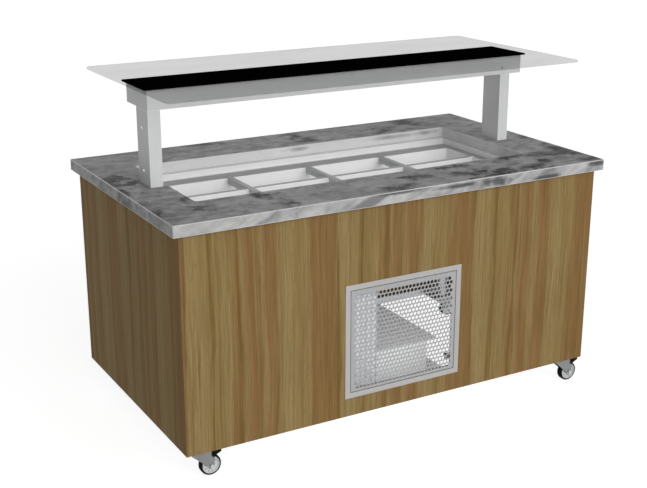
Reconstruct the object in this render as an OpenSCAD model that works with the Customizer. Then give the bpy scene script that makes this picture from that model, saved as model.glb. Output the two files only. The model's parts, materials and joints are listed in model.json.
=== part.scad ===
// Mobile salad bar: a laminate cabinet on four swivel casters, a stone top with a chilled well for
// eight GN 1/3 pans, and a gantry that carries a light housing and a flat glass shelf.
// Millimetres. Z is up, X runs along the counter and -Y is the front, where the vent door is.
// The origin is on the floor under the middle of the top.

/* [Counter] */
// Length of the stone top
top_l = 1700; // [1680:5:1900]
// Depth of the stone top
top_w = 970; // [960:5:1100]
// Thickness of the stone top
top_t = 40; // [30:1:50]
// Height of the counter above the floor
counter_h = 900; // [880:5:950]
// How far the top stands out past the end panels
end_overhang = 25; // [10:1:40]
// How far the top stands out past the front and back panels
side_overhang = 22; // [10:1:40]
// Thickness of the laminate panels
panel_t = 18; // [15:1:20]
// How far the panels start above the underside of the chassis
skirt_up = 6; // [4:1:10]

/* [Well] */
// Length of a pan along the counter, flange to flange
pan_pitch_x = 325; // [320:1:330]
// Depth of a pan front to back, flange to flange
pan_pitch_y = 176; // [170:1:180]
// Width of the pan ledge at the front and the back of the well
ledge_w = 78; // [60:1:84]
// Drop from the counter to the pan ledge
ledge_drop = 62; // [60:1:80]
// Depth of the well under the pan ledge
well_depth = 338; // [300:1:345]
// Thickness of the tank insulation
foam_t = 41; // [30:1:42]
// Width of the rail and dividers that hold the pans
bar_w = 20; // [16:1:24]
// Height of the rail and dividers that hold the pans
bar_h = 22; // [15:1:28]

/* [Gantry] */
// Clear height from the counter to the light housing
gantry_clear = 260; // [220:1:320]
// Width of a gantry post along the counter
post_w = 45; // [35:1:60]
// Depth of a gantry post
post_d = 104; // [80:1:140]
// Gap from the left end of the well's cut-out to the left post
post_gap = 19; // [10:1:40]
// How far the light housing runs past the right post
canopy_past = 50; // [20:1:60]
// Depth of the light housing
canopy_d = 188; // [160:1:220]
// Height of the light housing
canopy_h = 69; // [50:1:90]
// How far the glass shelf runs past each end of the light housing
glass_past_x = 46; // [20:1:50]
// How far the glass shelf runs past the front and the back of the light housing
glass_past_y = 288; // [100:2:300]
// Thickness of the glass shelf
glass_t = 8; // [6:1:12]

/* [Vent door] */
// Width of the vent surround
vent_l = 472; // [440:2:500]
// Height of the vent surround
vent_h = 412; // [380:2:430]
// Height of the middle of the vent above the floor
vent_z = 387; // [380:1:400]
// Distance between neighbouring perforations
hole_pitch = 15; // [14:0.2:18]
// Diameter of a perforation
hole_d = 12.4; // [9:0.1:12.8]

/* [Casters] */
// Diameter of a wheel
wheel_d = 75; // [70:1:80]
// Width of a wheel
wheel_w = 25; // [20:1:26]
// Distance from the swivel to the wheel axle
trail = 45; // [38:1:46]
// Distance from the swivel to the end panel's outer face
caster_in = 60; // [60:1:70]

/* [Hidden] */
$fn = 48;

// Clearances and overlaps
sheet = 2;
run_gap = 0.05;
hole_gap = 0.3;
fit_gap = 1;
eps = 1;

// Colours
steel = [0.78, 0.78, 0.79];
dark_steel = [0.45, 0.46, 0.48];
laminate = [0.56, 0.47, 0.31];
marble = [0.50, 0.50, 0.51];
black = [0.03, 0.03, 0.03];
copper = [0.72, 0.45, 0.30];

// Casters, stacked up from the wheel to the chassis
caster_plate = 84;
caster_plate_t = 3;
race_r = 28;
race_h = 7;
king_r = 5;
king_head_r = 9;
king_head_t = 3;
king_head_z = wheel_d + 12;
crown_t = 5;
crown_z = king_head_z + 5.5;
race_z = crown_z + crown_t + 0.5;
frame_z = race_z + race_h + caster_plate_t;

// Cabinet
body_l = top_l - 2 * end_overhang;
body_w = top_w - 2 * side_overhang;
slab_z = counter_h - top_t;
skirt_z = frame_z + skirt_up;
panel_h = slab_z - skirt_z;
inner_l = body_l - 2 * panel_t;
inner_w = body_w - 2 * panel_t;
tube = 30;
rail_h = slab_z - tube;
pad = 112;
pad_t = 5;
stone_r = 5;

// Well, all plan sizes inside the liner: the opening, the ledge around it, the rim and the cut-out
open_l = 4 * pan_pitch_x - bar_w;
open_w = 2 * pan_pitch_y - bar_w;
open_x = -30;
ledge_left = 12;
ledge_right = 32;
rim_l = open_l + ledge_left + ledge_right;
rim_w = open_w + 2 * ledge_w;
rim_x = open_x + (ledge_right - ledge_left) / 2;
stone_over_left = 2;
reveal_right = 10;
reveal_y = 22;
cut_l = rim_l - stone_over_left + reveal_right;
cut_w = rim_w + 2 * reveal_y;
cut_x = rim_x + (reveal_right + stone_over_left) / 2;
cut_r = 12;
liner_r = 10;
rim_r = 8;
ledge_z = counter_h - ledge_drop;
floor_z = ledge_z - well_depth;
bearer_out = rim_l / 2 + sheet + fit_gap + tube / 2;
flange_l = 2 * bearer_out + 16;
flange_w = cut_w + 48;
casing_top = ledge_z - 12;
casing_z = floor_z - sheet - foam_t - sheet;
tab_l = 24;
tab_root = 14;
rail_tab = 8;

// Drain
drain_in = 187;
drain_x = open_x + open_l / 2 - drain_in;
drain_y = -100;
drain_r = 17;
drain_lip = 8;
tail_r = 10.5;
tail_wall = 2;
valve_r = 16;
valve_h = 44;
valve_drop = 70;
valve_z = casing_z - valve_drop;
stem_r = 6;
lever_l = valve_drop - 8;
lever_w = 14;
lever_t = 4;

// Condensing unit: tray, coil with fan, compressor and electrical box
tray_x0 = -250;
tray_l = 518;
tray_y0 = -340;
tray_w = 640;
tray_z = frame_z + tube;
unit_z = tray_z + sheet;
bearer_in = [50, 48];
tray_bearers = [tray_x0 + bearer_in[0], tray_x0 + tray_l - bearer_in[1]];
coil_x0 = tray_x0 + 5;
coil_l = 213;
coil_x1 = coil_x0 + coil_l;
coil_d = 50;
coil_h = 358;
coil_turns = [1, 2, 3, 5, 6];
coil_y1 = tray_y0 + coil_d;
turn_r = 14;
turn_pipe_r = 4;
shroud_d = 40;
fan_r = 92;
fan_depth = 20;
fan_hub_r = 20;
fan_x = (coil_x0 + coil_x1) / 2;
fan_y = coil_y1 + 12;
fan_z = unit_z + coil_h / 2;
motor_r = 36;
motor_l = 60;
motor_arm = 8;
motor_arm_t = 6;
shaft_r = 4;
comp_x = tray_x0 + 110;
comp_y = tray_y0 + 430;
comp_r = 72;
comp_h = 140;
foot_h = 12;
foot_r = 11;
foot_in = 14;
base_l = 180;
base_w = 120;
base_t = 6;
cover_w = 60;
cover_h = 60;
cover_out = 24;
cover_root = 8;
cover_up = 50;
comp_z = unit_z + foot_h;
dome_h = 30;
dome_r = (pow(comp_r, 2) + pow(dome_h, 2)) / (2 * dome_h);
stub_h = 8;
stub_wall = 2;
suction_stub = 30;
discharge_r = 5;
discharge_bend = 20;
discharge_x = coil_x0 - 31;
discharge_z = comp_z + comp_h + dome_h + stub_h + discharge_bend + sheet;
liquid_r = 4;
liquid_bend = 15;
liquid_at = [comp_x - 122, comp_y - 30];
liquid_z = unit_z + 16;
suction_r = 8;
suction_bend = 14;
suction_at = [comp_x - 98, comp_y + 22];
suction_z = unit_z + 120;
box_x0 = coil_x1 + 6;
box_l = 223;
box_y0 = tray_y0 + 18;
box_w = 422;
box_h = 124;
lid_lip = 4;
lid_tail = 40;

// Evaporator
evap_x0 = open_x - 290;
evap_l = 400;
evap_y0 = -40;
evap_w = 160;
evap_h = 110;
evap_foot = 16;
evap_fin_in = 4;
evap_fan_x = evap_x0 + evap_l + 40;
evap_fan_y = evap_y0 + evap_w / 2;
evap_fan_z = floor_z + evap_foot + evap_h / 2;
evap_fan_r = 50;
evap_fan_depth = 16;
evap_hub_r = 14;
evap_shaft_r = 3;
evap_motor_r = 26;
evap_motor_l = 50;
evap_plate_w = 136;
evap_plate_t = 24;
evap_plate_top = 60;
evap_arm_w = 6;

// Gantry
post_y = 7;
post_x = cut_l / 2 - cut_x + post_gap + post_w;
canopy_l = 2 * post_x + canopy_past;
canopy_x = -post_x + canopy_l / 2;
canopy_y = post_y - post_d / 2 + canopy_d / 2;
canopy_z = counter_h + gantry_clear;
plate_lip = 12;
plate_t = 6;
plate_z = canopy_z + canopy_h;
glass_z = plate_z + plate_t;
glass_l = canopy_l + 2 * glass_past_x;
glass_w = canopy_d + 2 * glass_past_y;
glass_r = 22;
window_l = canopy_l - 238;
window_d = canopy_d - 98;
diffuser_lip = 8;
diffuser_t = 3;
lamp_l = window_l - 100;
lamp_r = 13;
lamp_z = canopy_z + canopy_h - 31;
socket_l = 20;
socket_w = 32;
socket_drop = 18;
screw_r = 6;
screw_h = 3.5;
screw_dome = 9;
screw_y = post_y + 4;
screw_z = [counter_h + 47, counter_h + 195];

// Vent door
front_y = -body_w / 2;
vent_rim = 17.5;
sleeve_l = vent_l - 2 * vent_rim;
sleeve_h = vent_h - 2 * vent_rim;
sleeve_d = panel_t + 6;
door_gap = 2.5;
door_l = sleeve_l - 2 * sheet - 2 * door_gap;
door_h = sleeve_h - 2 * sheet - 2 * door_gap;
door_d = 10;
door_t = 1.5;
door_y = front_y - 1;
mesh_rim = 8;
mesh_drop = 4;
hole_cols = floor((door_l / 2 - mesh_rim - hole_d / 2) / hole_pitch);
hole_rows = floor((door_h / 2 - mesh_drop - mesh_rim - hole_d / 2) / hole_pitch);
stop_in = 9.5;
stop_l = sleeve_l - 2 * sheet - 2 * stop_in;
stop_h = sleeve_h - 2 * sheet - 2 * stop_in;
stop_y = door_y + door_d + 3.5;
pin_in = 6;
door_pin_x = -door_l / 2 + pin_in;
door_pin_y = door_y + door_d / 2;
door_pin_r = 2.5;
door_pin_l = 8;
lock_x = door_l / 2 - 20;
lock_z = vent_z - door_h / 2 + 48;
lock_r = 5;
lock_boss = 4;
lock_boss_d = 6;
slot_w = 1.6;
slot_d = 1;
cam_w = 10;
cam_gap = 2.5;
cam_l = sleeve_l / 2 - sheet - cam_gap - lock_x;
cam_t = 3.5;

// Controls on the operator side
back_y = body_w / 2;
control_x = body_l / 2 - 215;
control_z = slab_z - 90;
control_l = 230;
control_h = 84;
control_rim = 12;
switch_x = [control_x + 78, control_x + 30];
bezel = 6;
bezel_out = 3.5;
bezel_in = 8;
rocker_l = 26;
rocker_w = 16;
rocker_gap = 1;
rocker_tilt = 6;
rocker_y = back_y - 1;
rocker_pin_r = 1.5;
rocker_pin_out = 3;
knob_x = control_x - 60;
knob_r = 18;
knob_flange = 5;
knob_grip_r = 14;
knob_grip_h = 12;
knob_shaft_r = 3;
knob_boss_r = 9;
knob_boss_in = 12;
gland_x = -(body_l / 2 - 205);
gland_z = skirt_z + 76;
gland_r = 10;
gland_nut_r = 15;
gland_nut_t = 8;
gland_tail = 12;
cord_r = 4.5;

// Fork, axle and brake
caster_x = body_l / 2 - caster_in;
caster_y = inner_w / 2 - 42;
leg_in = 15.5;
leg_t = 2.5;
axle_r = 4;
axle_z = wheel_d / 2;
axle_head_r = 6.5;
axle_head_t = 5;
wheel_side = 1.5;
shoe_drop = 8;
shoe_l = 8;
brake_x = trail + 7;
brake_z = wheel_d + shoe_drop;
brake_pin_r = 2.5;
pedal_l = 28;
pedal_t = 2.5;
pedal_up = 6.5;
pedal_ribs = 3;
cheek_t = 2;

// ---------------------------------------------------------------- shared shapes

// Rectangle with true round corners, centred
module round_rect(l, w, r) {
    square([l - 2 * r, w], center = true);
    square([l, w - 2 * r], center = true);
    for (sx = [-1, 1], sy = [-1, 1])
        translate([sx * (l / 2 - r), sy * (w / 2 - r)]) circle(r);
}

// Round-cornered block standing on z, centred in plan on x and y
module round_block(x, y, z, l, w, h, r) {
    translate([x, y, z]) linear_extrude(h) round_rect(l, w, r);
}

// Box between two corners
module box(a, b) {
    translate(a) cube(b - a);
}

// Cylinder along X, Y or Z from a point
module rod_x(p, r, l) {
    translate(p) rotate([0, 90, 0]) cylinder(r = r, h = l);
}

module rod_y(p, r, l) {
    translate(p) rotate([-90, 0, 0]) cylinder(r = r, h = l);
}

module rod_z(p, r, l) {
    translate(p) cylinder(r = r, h = l);
}

// Direction from one point to the next
function way(a, b) = (b - a) / norm(b - a);

// Round pipe along square-cornered points, with a quarter bend at each corner
module pipe(p, r, bend) {
    n = len(p);
    for (i = [0:n - 2]) {
        d = way(p[i], p[i + 1]);
        start = i > 0 ? bend : 0;
        end = i < n - 2 ? bend : 0;
        translate(p[i] + start * d) rotate([0, acos(d[2]), atan2(d[1], d[0])])
            cylinder(r = r, h = norm(p[i + 1] - p[i]) - start - end);
    }
    for (i = [1:n - 2]) {
        a = way(p[i - 1], p[i]);
        b = way(p[i], p[i + 1]);
        c = cross(-b, a);
        m = p[i] + bend * (b - a);
        multmatrix([
            [-b[0], a[0], c[0], m[0]],
            [-b[1], a[1], c[1], m[1]],
            [-b[2], a[2], c[2], m[2]],
            [0, 0, 0, 1]
        ]) rotate_extrude(angle = 90) translate([bend, 0]) circle(r);
    }
}

// ---------------------------------------------------------------- chassis and cabinet

// Welded ring of square tube: four rails and a list of cross members
module ring(z, members) {
    for (s = [-1, 1]) {
        translate([-inner_l / 2, s * (inner_w / 2 - tube / 2) - tube / 2, z]) cube([inner_l, tube, tube]);
        translate([s * (inner_l / 2 - tube / 2) - tube / 2, -inner_w / 2, z]) cube([tube, inner_w, tube]);
    }
    for (x = members)
        translate([x - tube / 2, -inner_w / 2, z]) cube([tube, inner_w, tube]);
}

module chassis_frame() {
    color(dark_steel) {
        ring(frame_z, tray_bearers);
        difference() {
            ring(rail_h, [rim_x - bearer_out, rim_x + bearer_out]);
            translate([rim_x - flange_l / 2 - fit_gap, -flange_w / 2 - fit_gap, slab_z - sheet])
                cube([flange_l + 2 * fit_gap, flange_w + 2 * fit_gap, sheet + eps]);
        }
        for (sx = [-1, 1], sy = [-1, 1]) {
            translate([sx * (inner_l - tube) / 2 - tube / 2, sy * (inner_w - tube) / 2 - tube / 2, frame_z])
                cube([tube, tube, slab_z - frame_z]);
            translate([sx * (inner_l - pad) / 2 - pad / 2, sy * (inner_w - pad) / 2 - pad / 2, frame_z])
                cube([pad, pad, pad_t]);
        }
    }
}

module long_panel(y) {
    translate([-body_l / 2, y, skirt_z]) cube([body_l, panel_t, panel_h]);
}

module end_panel(x) {
    translate([x, -inner_w / 2, skirt_z]) cube([panel_t, inner_w, panel_h]);
}

module front_panel() {
    color(laminate) difference() {
        long_panel(front_y);
        in_vent(sleeve_l + 2 * fit_gap, sleeve_h + 2 * fit_gap, front_y - eps, front_y + panel_t + eps);
    }
}

module back_panel() {
    color(laminate) difference() {
        long_panel(back_y - panel_t);
        in_controls(control_l - 2 * control_rim, control_h - 2 * control_rim, -panel_t - eps, eps);
        rod_y([gland_x, back_y - panel_t - eps, gland_z], gland_r + hole_gap, panel_t + 2 * eps);
    }
}

module left_panel() {
    color(laminate) end_panel(-body_l / 2);
}

module right_panel() {
    color(laminate) end_panel(body_l / 2 - panel_t);
}

module countertop() {
    color(marble) difference() {
        round_block(0, 0, slab_z, top_l, top_w, top_t, stone_r);
        round_block(cut_x, 0, slab_z - eps, cut_l, cut_w, top_t + 2 * eps, cut_r);
    }
}

// ---------------------------------------------------------------- chilled well

// Holes for the drain and for two of the refrigerant pipes
module floor_holes(z, h) {
    rod_z([drain_x, drain_y, z], drain_r + hole_gap, h);
    rod_z([liquid_at[0], liquid_at[1], z], liquid_r + fit_gap / 2, h);
    rod_z([suction_at[0], suction_at[1], z], suction_r + fit_gap / 2, h);
}

// Round-cornered block around the well's opening, a given distance outside it
module around_well(z, out, h) {
    round_block(open_x, 0, z, open_l + 2 * out, open_w + 2 * out, h, liner_r + out);
}

module well_liner() {
    color(steel) difference() {
        union() {
            round_block(rim_x, 0, slab_z - sheet, flange_l, flange_w, sheet, liner_r);
            round_block(rim_x, 0, ledge_z - sheet, rim_l + 2 * sheet, rim_w + 2 * sheet, ledge_drop - top_t,
                rim_r + sheet);
            around_well(floor_z - sheet, sheet, well_depth);
        }
        round_block(rim_x, 0, ledge_z, rim_l, rim_w, ledge_drop, rim_r);
        around_well(floor_z, 0, well_depth + eps);
        floor_holes(floor_z - 2 * sheet, 4 * sheet);
    }
}

module tank_insulation() {
    color([0.9, 0.88, 0.7]) difference() {
        around_well(casing_z + sheet, sheet + foam_t, casing_top - casing_z - sheet);
        around_well(floor_z - sheet, sheet, well_depth);
        floor_holes(casing_z, 2 * foam_t);
    }
}

module tank_casing() {
    color(steel) difference() {
        around_well(casing_z, foam_t + 2 * sheet, casing_top - casing_z);
        around_well(casing_z + sheet, foam_t + sheet, casing_top - casing_z);
        floor_holes(casing_z - eps, 4 * sheet);
    }
}

// Long rail; its short end tabs lie on the ledge, and it has a notch under each divider
module cross_rail() {
    half = open_l / 2 - fit_gap;
    reach = fit_gap + rail_tab;
    color(steel) difference() {
        translate([open_x, 0, ledge_z]) {
            difference() {
                translate([-half, -bar_w / 2, -bar_h]) cube([2 * half, bar_w, bar_h]);
                translate([-half - eps, -bar_w / 2 + sheet, -bar_h - eps])
                    cube([2 * half + 2 * eps, bar_w - 2 * sheet, bar_h + eps - sheet]);
            }
            for (s = [-1, 1]) {
                translate([s * (half - tab_root / 2) - tab_root / 2, -bar_w / 2, -sheet])
                    cube([tab_root, bar_w, 2 * sheet]);
                translate([s * (half + reach / 2) - reach / 2, -bar_w / 2, 0]) cube([reach, bar_w, sheet]);
            }
        }
        for (i = [-1, 0, 1])
            translate([open_x + i * pan_pitch_x - bar_w / 2 - fit_gap / 2, -bar_w, ledge_z - bar_h / 2])
                cube([bar_w + fit_gap, 2 * bar_w, bar_h]);
    }
}

// Divider bar front to back; its tabs lie on the ledge and its notch sits over the long rail
module divider(i) {
    half = open_w / 2 - fit_gap;
    color(steel) translate([open_x + i * pan_pitch_x, 0, ledge_z]) difference() {
        rotate([0, 0, 90]) {
            difference() {
                translate([-half, -bar_w / 2, -bar_h]) cube([2 * half, bar_w, bar_h + sheet]);
                translate([-half - eps, -bar_w / 2 + sheet, -bar_h - eps])
                    cube([2 * half + 2 * eps, bar_w - 2 * sheet, bar_h + eps]);
            }
            for (s = [-1, 1])
                translate([s * (half + tab_l / 2) - tab_l / 2, -bar_w / 2, 0]) cube([tab_l, bar_w, sheet]);
        }
        translate([-bar_w, -bar_w / 2 - fit_gap / 2, -bar_h - eps])
            cube([2 * bar_w, bar_w + fit_gap, bar_h / 2 + eps + fit_gap / 2]);
    }
}

module left_divider() {
    divider(-1);
}

module middle_divider() {
    divider(0);
}

module right_divider() {
    divider(1);
}

// Return bend on the low X face of a coil, flat at a tilt of 0 and upright at 90
module turn(x, y, z, tilt, r, pipe_r) {
    translate([x, y, z]) rotate([tilt, 0, 0]) rotate([0, 0, 90]) rotate_extrude(angle = 180)
        translate([r, 0]) circle(pipe_r);
}

// Finned block between two end plates with return bends
module evaporator_coil() {
    z = floor_z + evap_foot;
    color([0.75, 0.76, 0.78]) {
        box([evap_x0 + sheet, evap_y0 + evap_fin_in, z + evap_fin_in],
            [evap_x0 + evap_l - sheet, evap_y0 + evap_w - evap_fin_in, z + evap_h - evap_fin_in]);
        for (x = [evap_x0, evap_x0 + evap_l - sheet])
            box([x, evap_y0, floor_z], [x + sheet, evap_y0 + evap_w, z + evap_h]);
    }
    color(copper) for (y = [evap_w / 3, evap_w * 2 / 3])
        turn(evap_x0, evap_y0 + y, z + evap_h / 2, 0, turn_r, turn_pipe_r);
}

// Fan motor behind a plate with a round opening, on four arms
module evaporator_motor() {
    back = evap_fan_x + evap_plate_t / 2;
    color(dark_steel) {
        rod_x([back, evap_fan_y, evap_fan_z], evap_motor_r, evap_motor_l);
        difference() {
            box([back - evap_plate_t, evap_fan_y - evap_plate_w / 2, floor_z],
                [back, evap_fan_y + evap_plate_w / 2, evap_fan_z + evap_plate_top]);
            rod_x([back - evap_plate_t - eps, evap_fan_y, evap_fan_z], evap_fan_r + 4, evap_plate_t + 2 * eps);
        }
        for (a = [45, 135, 225, 315])
            translate([back, evap_fan_y, evap_fan_z]) rotate([a, 0, 0])
                box([-sheet, -evap_arm_w / 2, 0], [sheet, evap_arm_w / 2, evap_fan_r + 10]);
    }
    color(steel) rod_x([back - evap_plate_t, evap_fan_y, evap_fan_z], evap_shaft_r, evap_plate_t);
}

// Bladed rotor on a bored hub, axis along Z from z = 0
module rotor(r, hub_r, depth, bore_r, blades) {
    difference() {
        union() {
            cylinder(r = hub_r, h = depth);
            intersection() {
                cylinder(r = r, h = depth);
                for (i = [0:blades - 1])
                    rotate([0, 0, i * 360 / blades]) translate([0, 0, depth / 2]) rotate([28, 0, 0])
                        translate([hub_r - 4, -r / 3, -0.8]) cube([r, r / 1.5, 1.6]);
            }
        }
        translate([0, 0, -eps]) cylinder(r = bore_r, h = depth + 2 * eps);
    }
}

module evaporator_fan() {
    color(black) translate([evap_fan_x - evap_fan_depth / 2 - 2, evap_fan_y, evap_fan_z]) rotate([0, 90, 0])
        rotor(evap_fan_r, evap_hub_r, evap_fan_depth, evap_shaft_r + run_gap, 5);
}

// ---------------------------------------------------------------- drain

module drain_outlet() {
    neck_z = casing_z - 12;
    tail_z = valve_z + valve_h / 2;
    color(steel) difference() {
        union() {
            rod_z([drain_x, drain_y, floor_z], drain_r + drain_lip, 3);
            rod_z([drain_x, drain_y, neck_z], drain_r, floor_z - neck_z);
            rod_z([drain_x, drain_y, tail_z], tail_r, neck_z - tail_z);
        }
        rod_z([drain_x, drain_y, tail_z - eps], tail_r - tail_wall, floor_z - tail_z + 10);
    }
}

// Ball valve body with a tail pipe under it and the stem of its lever
module drain_valve() {
    tail_z = valve_z - 60;
    top_z = valve_z + valve_h / 2;
    color(black) difference() {
        union() {
            rod_z([drain_x, drain_y, top_z - valve_h], valve_r, valve_h);
            rod_z([drain_x, drain_y, tail_z], tail_r, valve_z - tail_z);
            rod_y([drain_x, drain_y - 2 * valve_r, valve_z], stem_r, valve_r + 4);
        }
        rod_z([drain_x, drain_y, tail_z - eps], tail_r - tail_wall, top_z - tail_z + 2 * eps);
    }
}

// Quarter-turn lever on the valve stem, upright beside the pipe while the valve is open
module drain_lever() {
    y = drain_y - 2 * valve_r - lever_t;
    color(black) difference() {
        union() {
            rod_y([drain_x, y, valve_z], stem_r + 5, 3 * lever_t);
            box([drain_x - lever_w / 2, y, valve_z], [drain_x + lever_w / 2, y + lever_t, valve_z + lever_l]);
        }
        rod_y([drain_x, y + lever_t - eps, valve_z], stem_r + run_gap, 3 * lever_t);
    }
}

// ---------------------------------------------------------------- condensing unit

module unit_tray() {
    color(steel) box([tray_x0, tray_y0, tray_z], [tray_x0 + tray_l, tray_y0 + tray_w, unit_z]);
}

module condenser_coil() {
    color([0.8, 0.81, 0.83]) {
        box([coil_x0 + sheet, tray_y0, unit_z], [coil_x1 - sheet, coil_y1, unit_z + coil_h]);
        for (x = [coil_x0, coil_x1 - sheet])
            box([x, tray_y0, unit_z], [x + sheet, coil_y1, unit_z + coil_h]);
    }
    color(copper) for (i = coil_turns)
        turn(coil_x0, tray_y0 + coil_d / 2, unit_z + 4 * turn_r * i, 90, turn_r, turn_pipe_r);
}

module fan_shroud() {
    y1 = coil_y1 + shroud_d;
    color(steel) difference() {
        box([coil_x0, coil_y1, unit_z], [coil_x1, y1, unit_z + coil_h]);
        box([coil_x0 + sheet, coil_y1 - eps, unit_z + sheet],
            [coil_x1 - sheet, y1 - sheet, unit_z + coil_h - sheet]);
        rod_y([fan_x, coil_y1, fan_z], fan_r + 6, shroud_d + eps);
    }
}

// Motor on four arms across the shroud's opening
module fan_motor() {
    y1 = coil_y1 + shroud_d;
    color(dark_steel) {
        rod_y([fan_x, y1 + 4, fan_z], motor_r, motor_l);
        for (a = [45, 135, 225, 315])
            translate([fan_x, y1, fan_z]) rotate([0, a, 0])
                box([-motor_arm / 2, 0, motor_r / 2], [motor_arm / 2, motor_arm_t, fan_r + 14]);
    }
    color(steel) rod_y([fan_x, fan_y, fan_z], shaft_r, y1 + 4 - fan_y);
}

module fan_blade() {
    color(black) translate([fan_x, fan_y, fan_z]) rotate([-90, 0, 0])
        rotor(fan_r, fan_hub_r, fan_depth, shaft_r + run_gap, 5);
}

// Welded shell with a domed top on a base plate, with a terminal cover and two pipe stubs
module compressor() {
    color(black) {
        rod_z([comp_x, comp_y, comp_z + base_t], comp_r, comp_h - base_t);
        intersection() {
            translate([comp_x, comp_y, comp_z + comp_h + dome_h - dome_r]) sphere(dome_r);
            rod_z([comp_x, comp_y, comp_z + comp_h - eps], comp_r, dome_h + 2 * eps);
        }
        translate([comp_x - base_l / 2, comp_y - base_w / 2, comp_z]) cube([base_l, base_w, base_t]);
        box([comp_x + comp_r - cover_root, comp_y - cover_w / 2, comp_z + cover_up],
            [comp_x + comp_r + cover_out, comp_y + cover_w / 2, comp_z + cover_up + cover_h]);
        rod_z([comp_x, comp_y, comp_z + comp_h], discharge_r + stub_wall, dome_h + stub_h);
        rod_x([suction_at[0] + suction_bend, suction_at[1], suction_z], suction_r + stub_wall, suction_stub);
    }
}

module compressor_feet() {
    foot_x = base_l / 2 - foot_in;
    foot_y = base_w / 2 - foot_in;
    color([0.1, 0.1, 0.1]) for (sx = [-1, 1], sy = [-1, 1])
        rod_z([comp_x + sx * foot_x, comp_y + sy * foot_y, unit_z], foot_r, foot_h);
}

// Three lines: discharge to the condenser, liquid from it to the well, suction from the well to the compressor
module refrigerant_pipes() {
    z_out = comp_z + comp_h + dome_h + stub_h;
    y_in = tray_y0 + coil_d / 2;
    top = floor_z + evap_foot + evap_fin_in;
    color(copper) {
        pipe([[comp_x, comp_y, z_out], [comp_x, comp_y, discharge_z], [discharge_x, comp_y, discharge_z],
            [discharge_x, y_in, discharge_z], [coil_x0, y_in, discharge_z]], discharge_r, discharge_bend);
        pipe([[coil_x0, y_in, liquid_z], [liquid_at[0], y_in, liquid_z], [liquid_at[0], liquid_at[1], liquid_z],
            [liquid_at[0], liquid_at[1], top]], liquid_r, liquid_bend);
        pipe([[suction_at[0] + suction_bend, suction_at[1], suction_z], [suction_at[0], suction_at[1], suction_z],
            [suction_at[0], suction_at[1], top]], suction_r, suction_bend);
    }
}

module electrical_box() {
    x1 = box_x0 + box_l;
    y1 = box_y0 + box_w;
    color(steel) difference() {
        box([box_x0, box_y0, unit_z], [x1, y1, unit_z + box_h]);
        box([box_x0 + sheet, box_y0 + sheet, unit_z + sheet], [x1 - sheet, y1 - sheet, unit_z + box_h + eps]);
    }
}

module electrical_lid() {
    z = unit_z + box_h;
    color(steel) box([box_x0 - lid_lip, box_y0 - lid_lip, z],
        [box_x0 + box_l + lid_tail, box_y0 + box_w + lid_lip, z + sheet]);
}

// ---------------------------------------------------------------- vent

// Box around the middle of the vent, from y0 to y1
module in_vent(l, h, y0, y1) {
    box([-l / 2, y0, vent_z - h / 2], [l / 2, y1, vent_z + h / 2]);
}

module grille_frame() {
    color(steel) difference() {
        union() {
            in_vent(vent_l, vent_h, front_y - sheet, front_y);
            in_vent(sleeve_l, sleeve_h, front_y - sheet, front_y + sleeve_d);
        }
        in_vent(sleeve_l - 2 * sheet, sleeve_h - 2 * sheet, front_y - 2 * sheet, stop_y);
        in_vent(stop_l, stop_h, stop_y - eps, stop_y + sheet + eps);
        in_vent(sleeve_l - 2 * sheet, sleeve_h - 2 * sheet, stop_y + sheet, front_y + sleeve_d + eps);
        rod_z([door_pin_x, door_pin_y, vent_z - vent_h], door_pin_r + run_gap, 2 * vent_h);
    }
}

// Whole perforations, as many as the sheet has room for, in rows that are staggered by half a pitch
module perforations() {
    for (j = [-hole_rows:hole_rows]) {
        odd = abs(j) % 2;
        for (i = [-hole_cols:hole_cols - odd])
            rod_y([(i + odd / 2) * hole_pitch, door_y - eps, vent_z - mesh_drop + j * hole_pitch],
                hole_d / 2, door_t + 2 * eps);
    }
}

// Perforated sheet with its four edges folded back, hinge pins and a boss for the lock
module grille_door() {
    color([0.80, 0.80, 0.81]) difference() {
        union() {
            difference() {
                in_vent(door_l, door_h, door_y, door_y + door_d);
                in_vent(door_l - 2 * door_t, door_h - 2 * door_t, door_y + door_t, door_y + door_d + eps);
                perforations();
            }
            for (s = [-1, 1])
                rod_z([door_pin_x, door_pin_y, vent_z + s * (door_h / 2 + 1) - door_pin_l / 2],
                    door_pin_r, door_pin_l);
            rod_y([lock_x, door_y, lock_z], lock_r + lock_boss, lock_boss_d);
        }
        rod_y([lock_x, door_y - eps, lock_z], lock_r + run_gap, lock_boss_d + 2 * eps);
    }
}

// Quarter-turn lock: slotted head, stem through the door and a cam that turns behind the stop
module grille_lock() {
    y_head = door_y - sheet - 0.1;
    y_cam = stop_y + sheet + fit_gap;
    color([0.2, 0.2, 0.2]) difference() {
        union() {
            rod_y([lock_x, y_head, lock_z], lock_r + 2, sheet);
            rod_y([lock_x, y_head, lock_z], lock_r, y_cam + cam_t - y_head);
            box([lock_x - cam_w / 2, y_cam, lock_z - cam_l],
                [lock_x + cam_w / 2, y_cam + cam_t, lock_z + cam_w / 2]);
        }
        box([lock_x - lock_r - 0.5, y_head - eps, lock_z - slot_w / 2],
            [lock_x + lock_r + 0.5, y_head + slot_d, lock_z + slot_w / 2]);
    }
}

// ---------------------------------------------------------------- gantry

// Folded tube between the stone top and the light housing
module post(x) {
    y = post_y - post_d / 2;
    color(steel) difference() {
        box([x, y, counter_h], [x + post_w, y + post_d, canopy_z]);
        box([x + sheet, y + sheet, counter_h - eps], [x + post_w - sheet, y + post_d - sheet, canopy_z + eps]);
    }
}

module left_post() {
    post(-post_x);
}

module right_post() {
    post(post_x - post_w);
}

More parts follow.
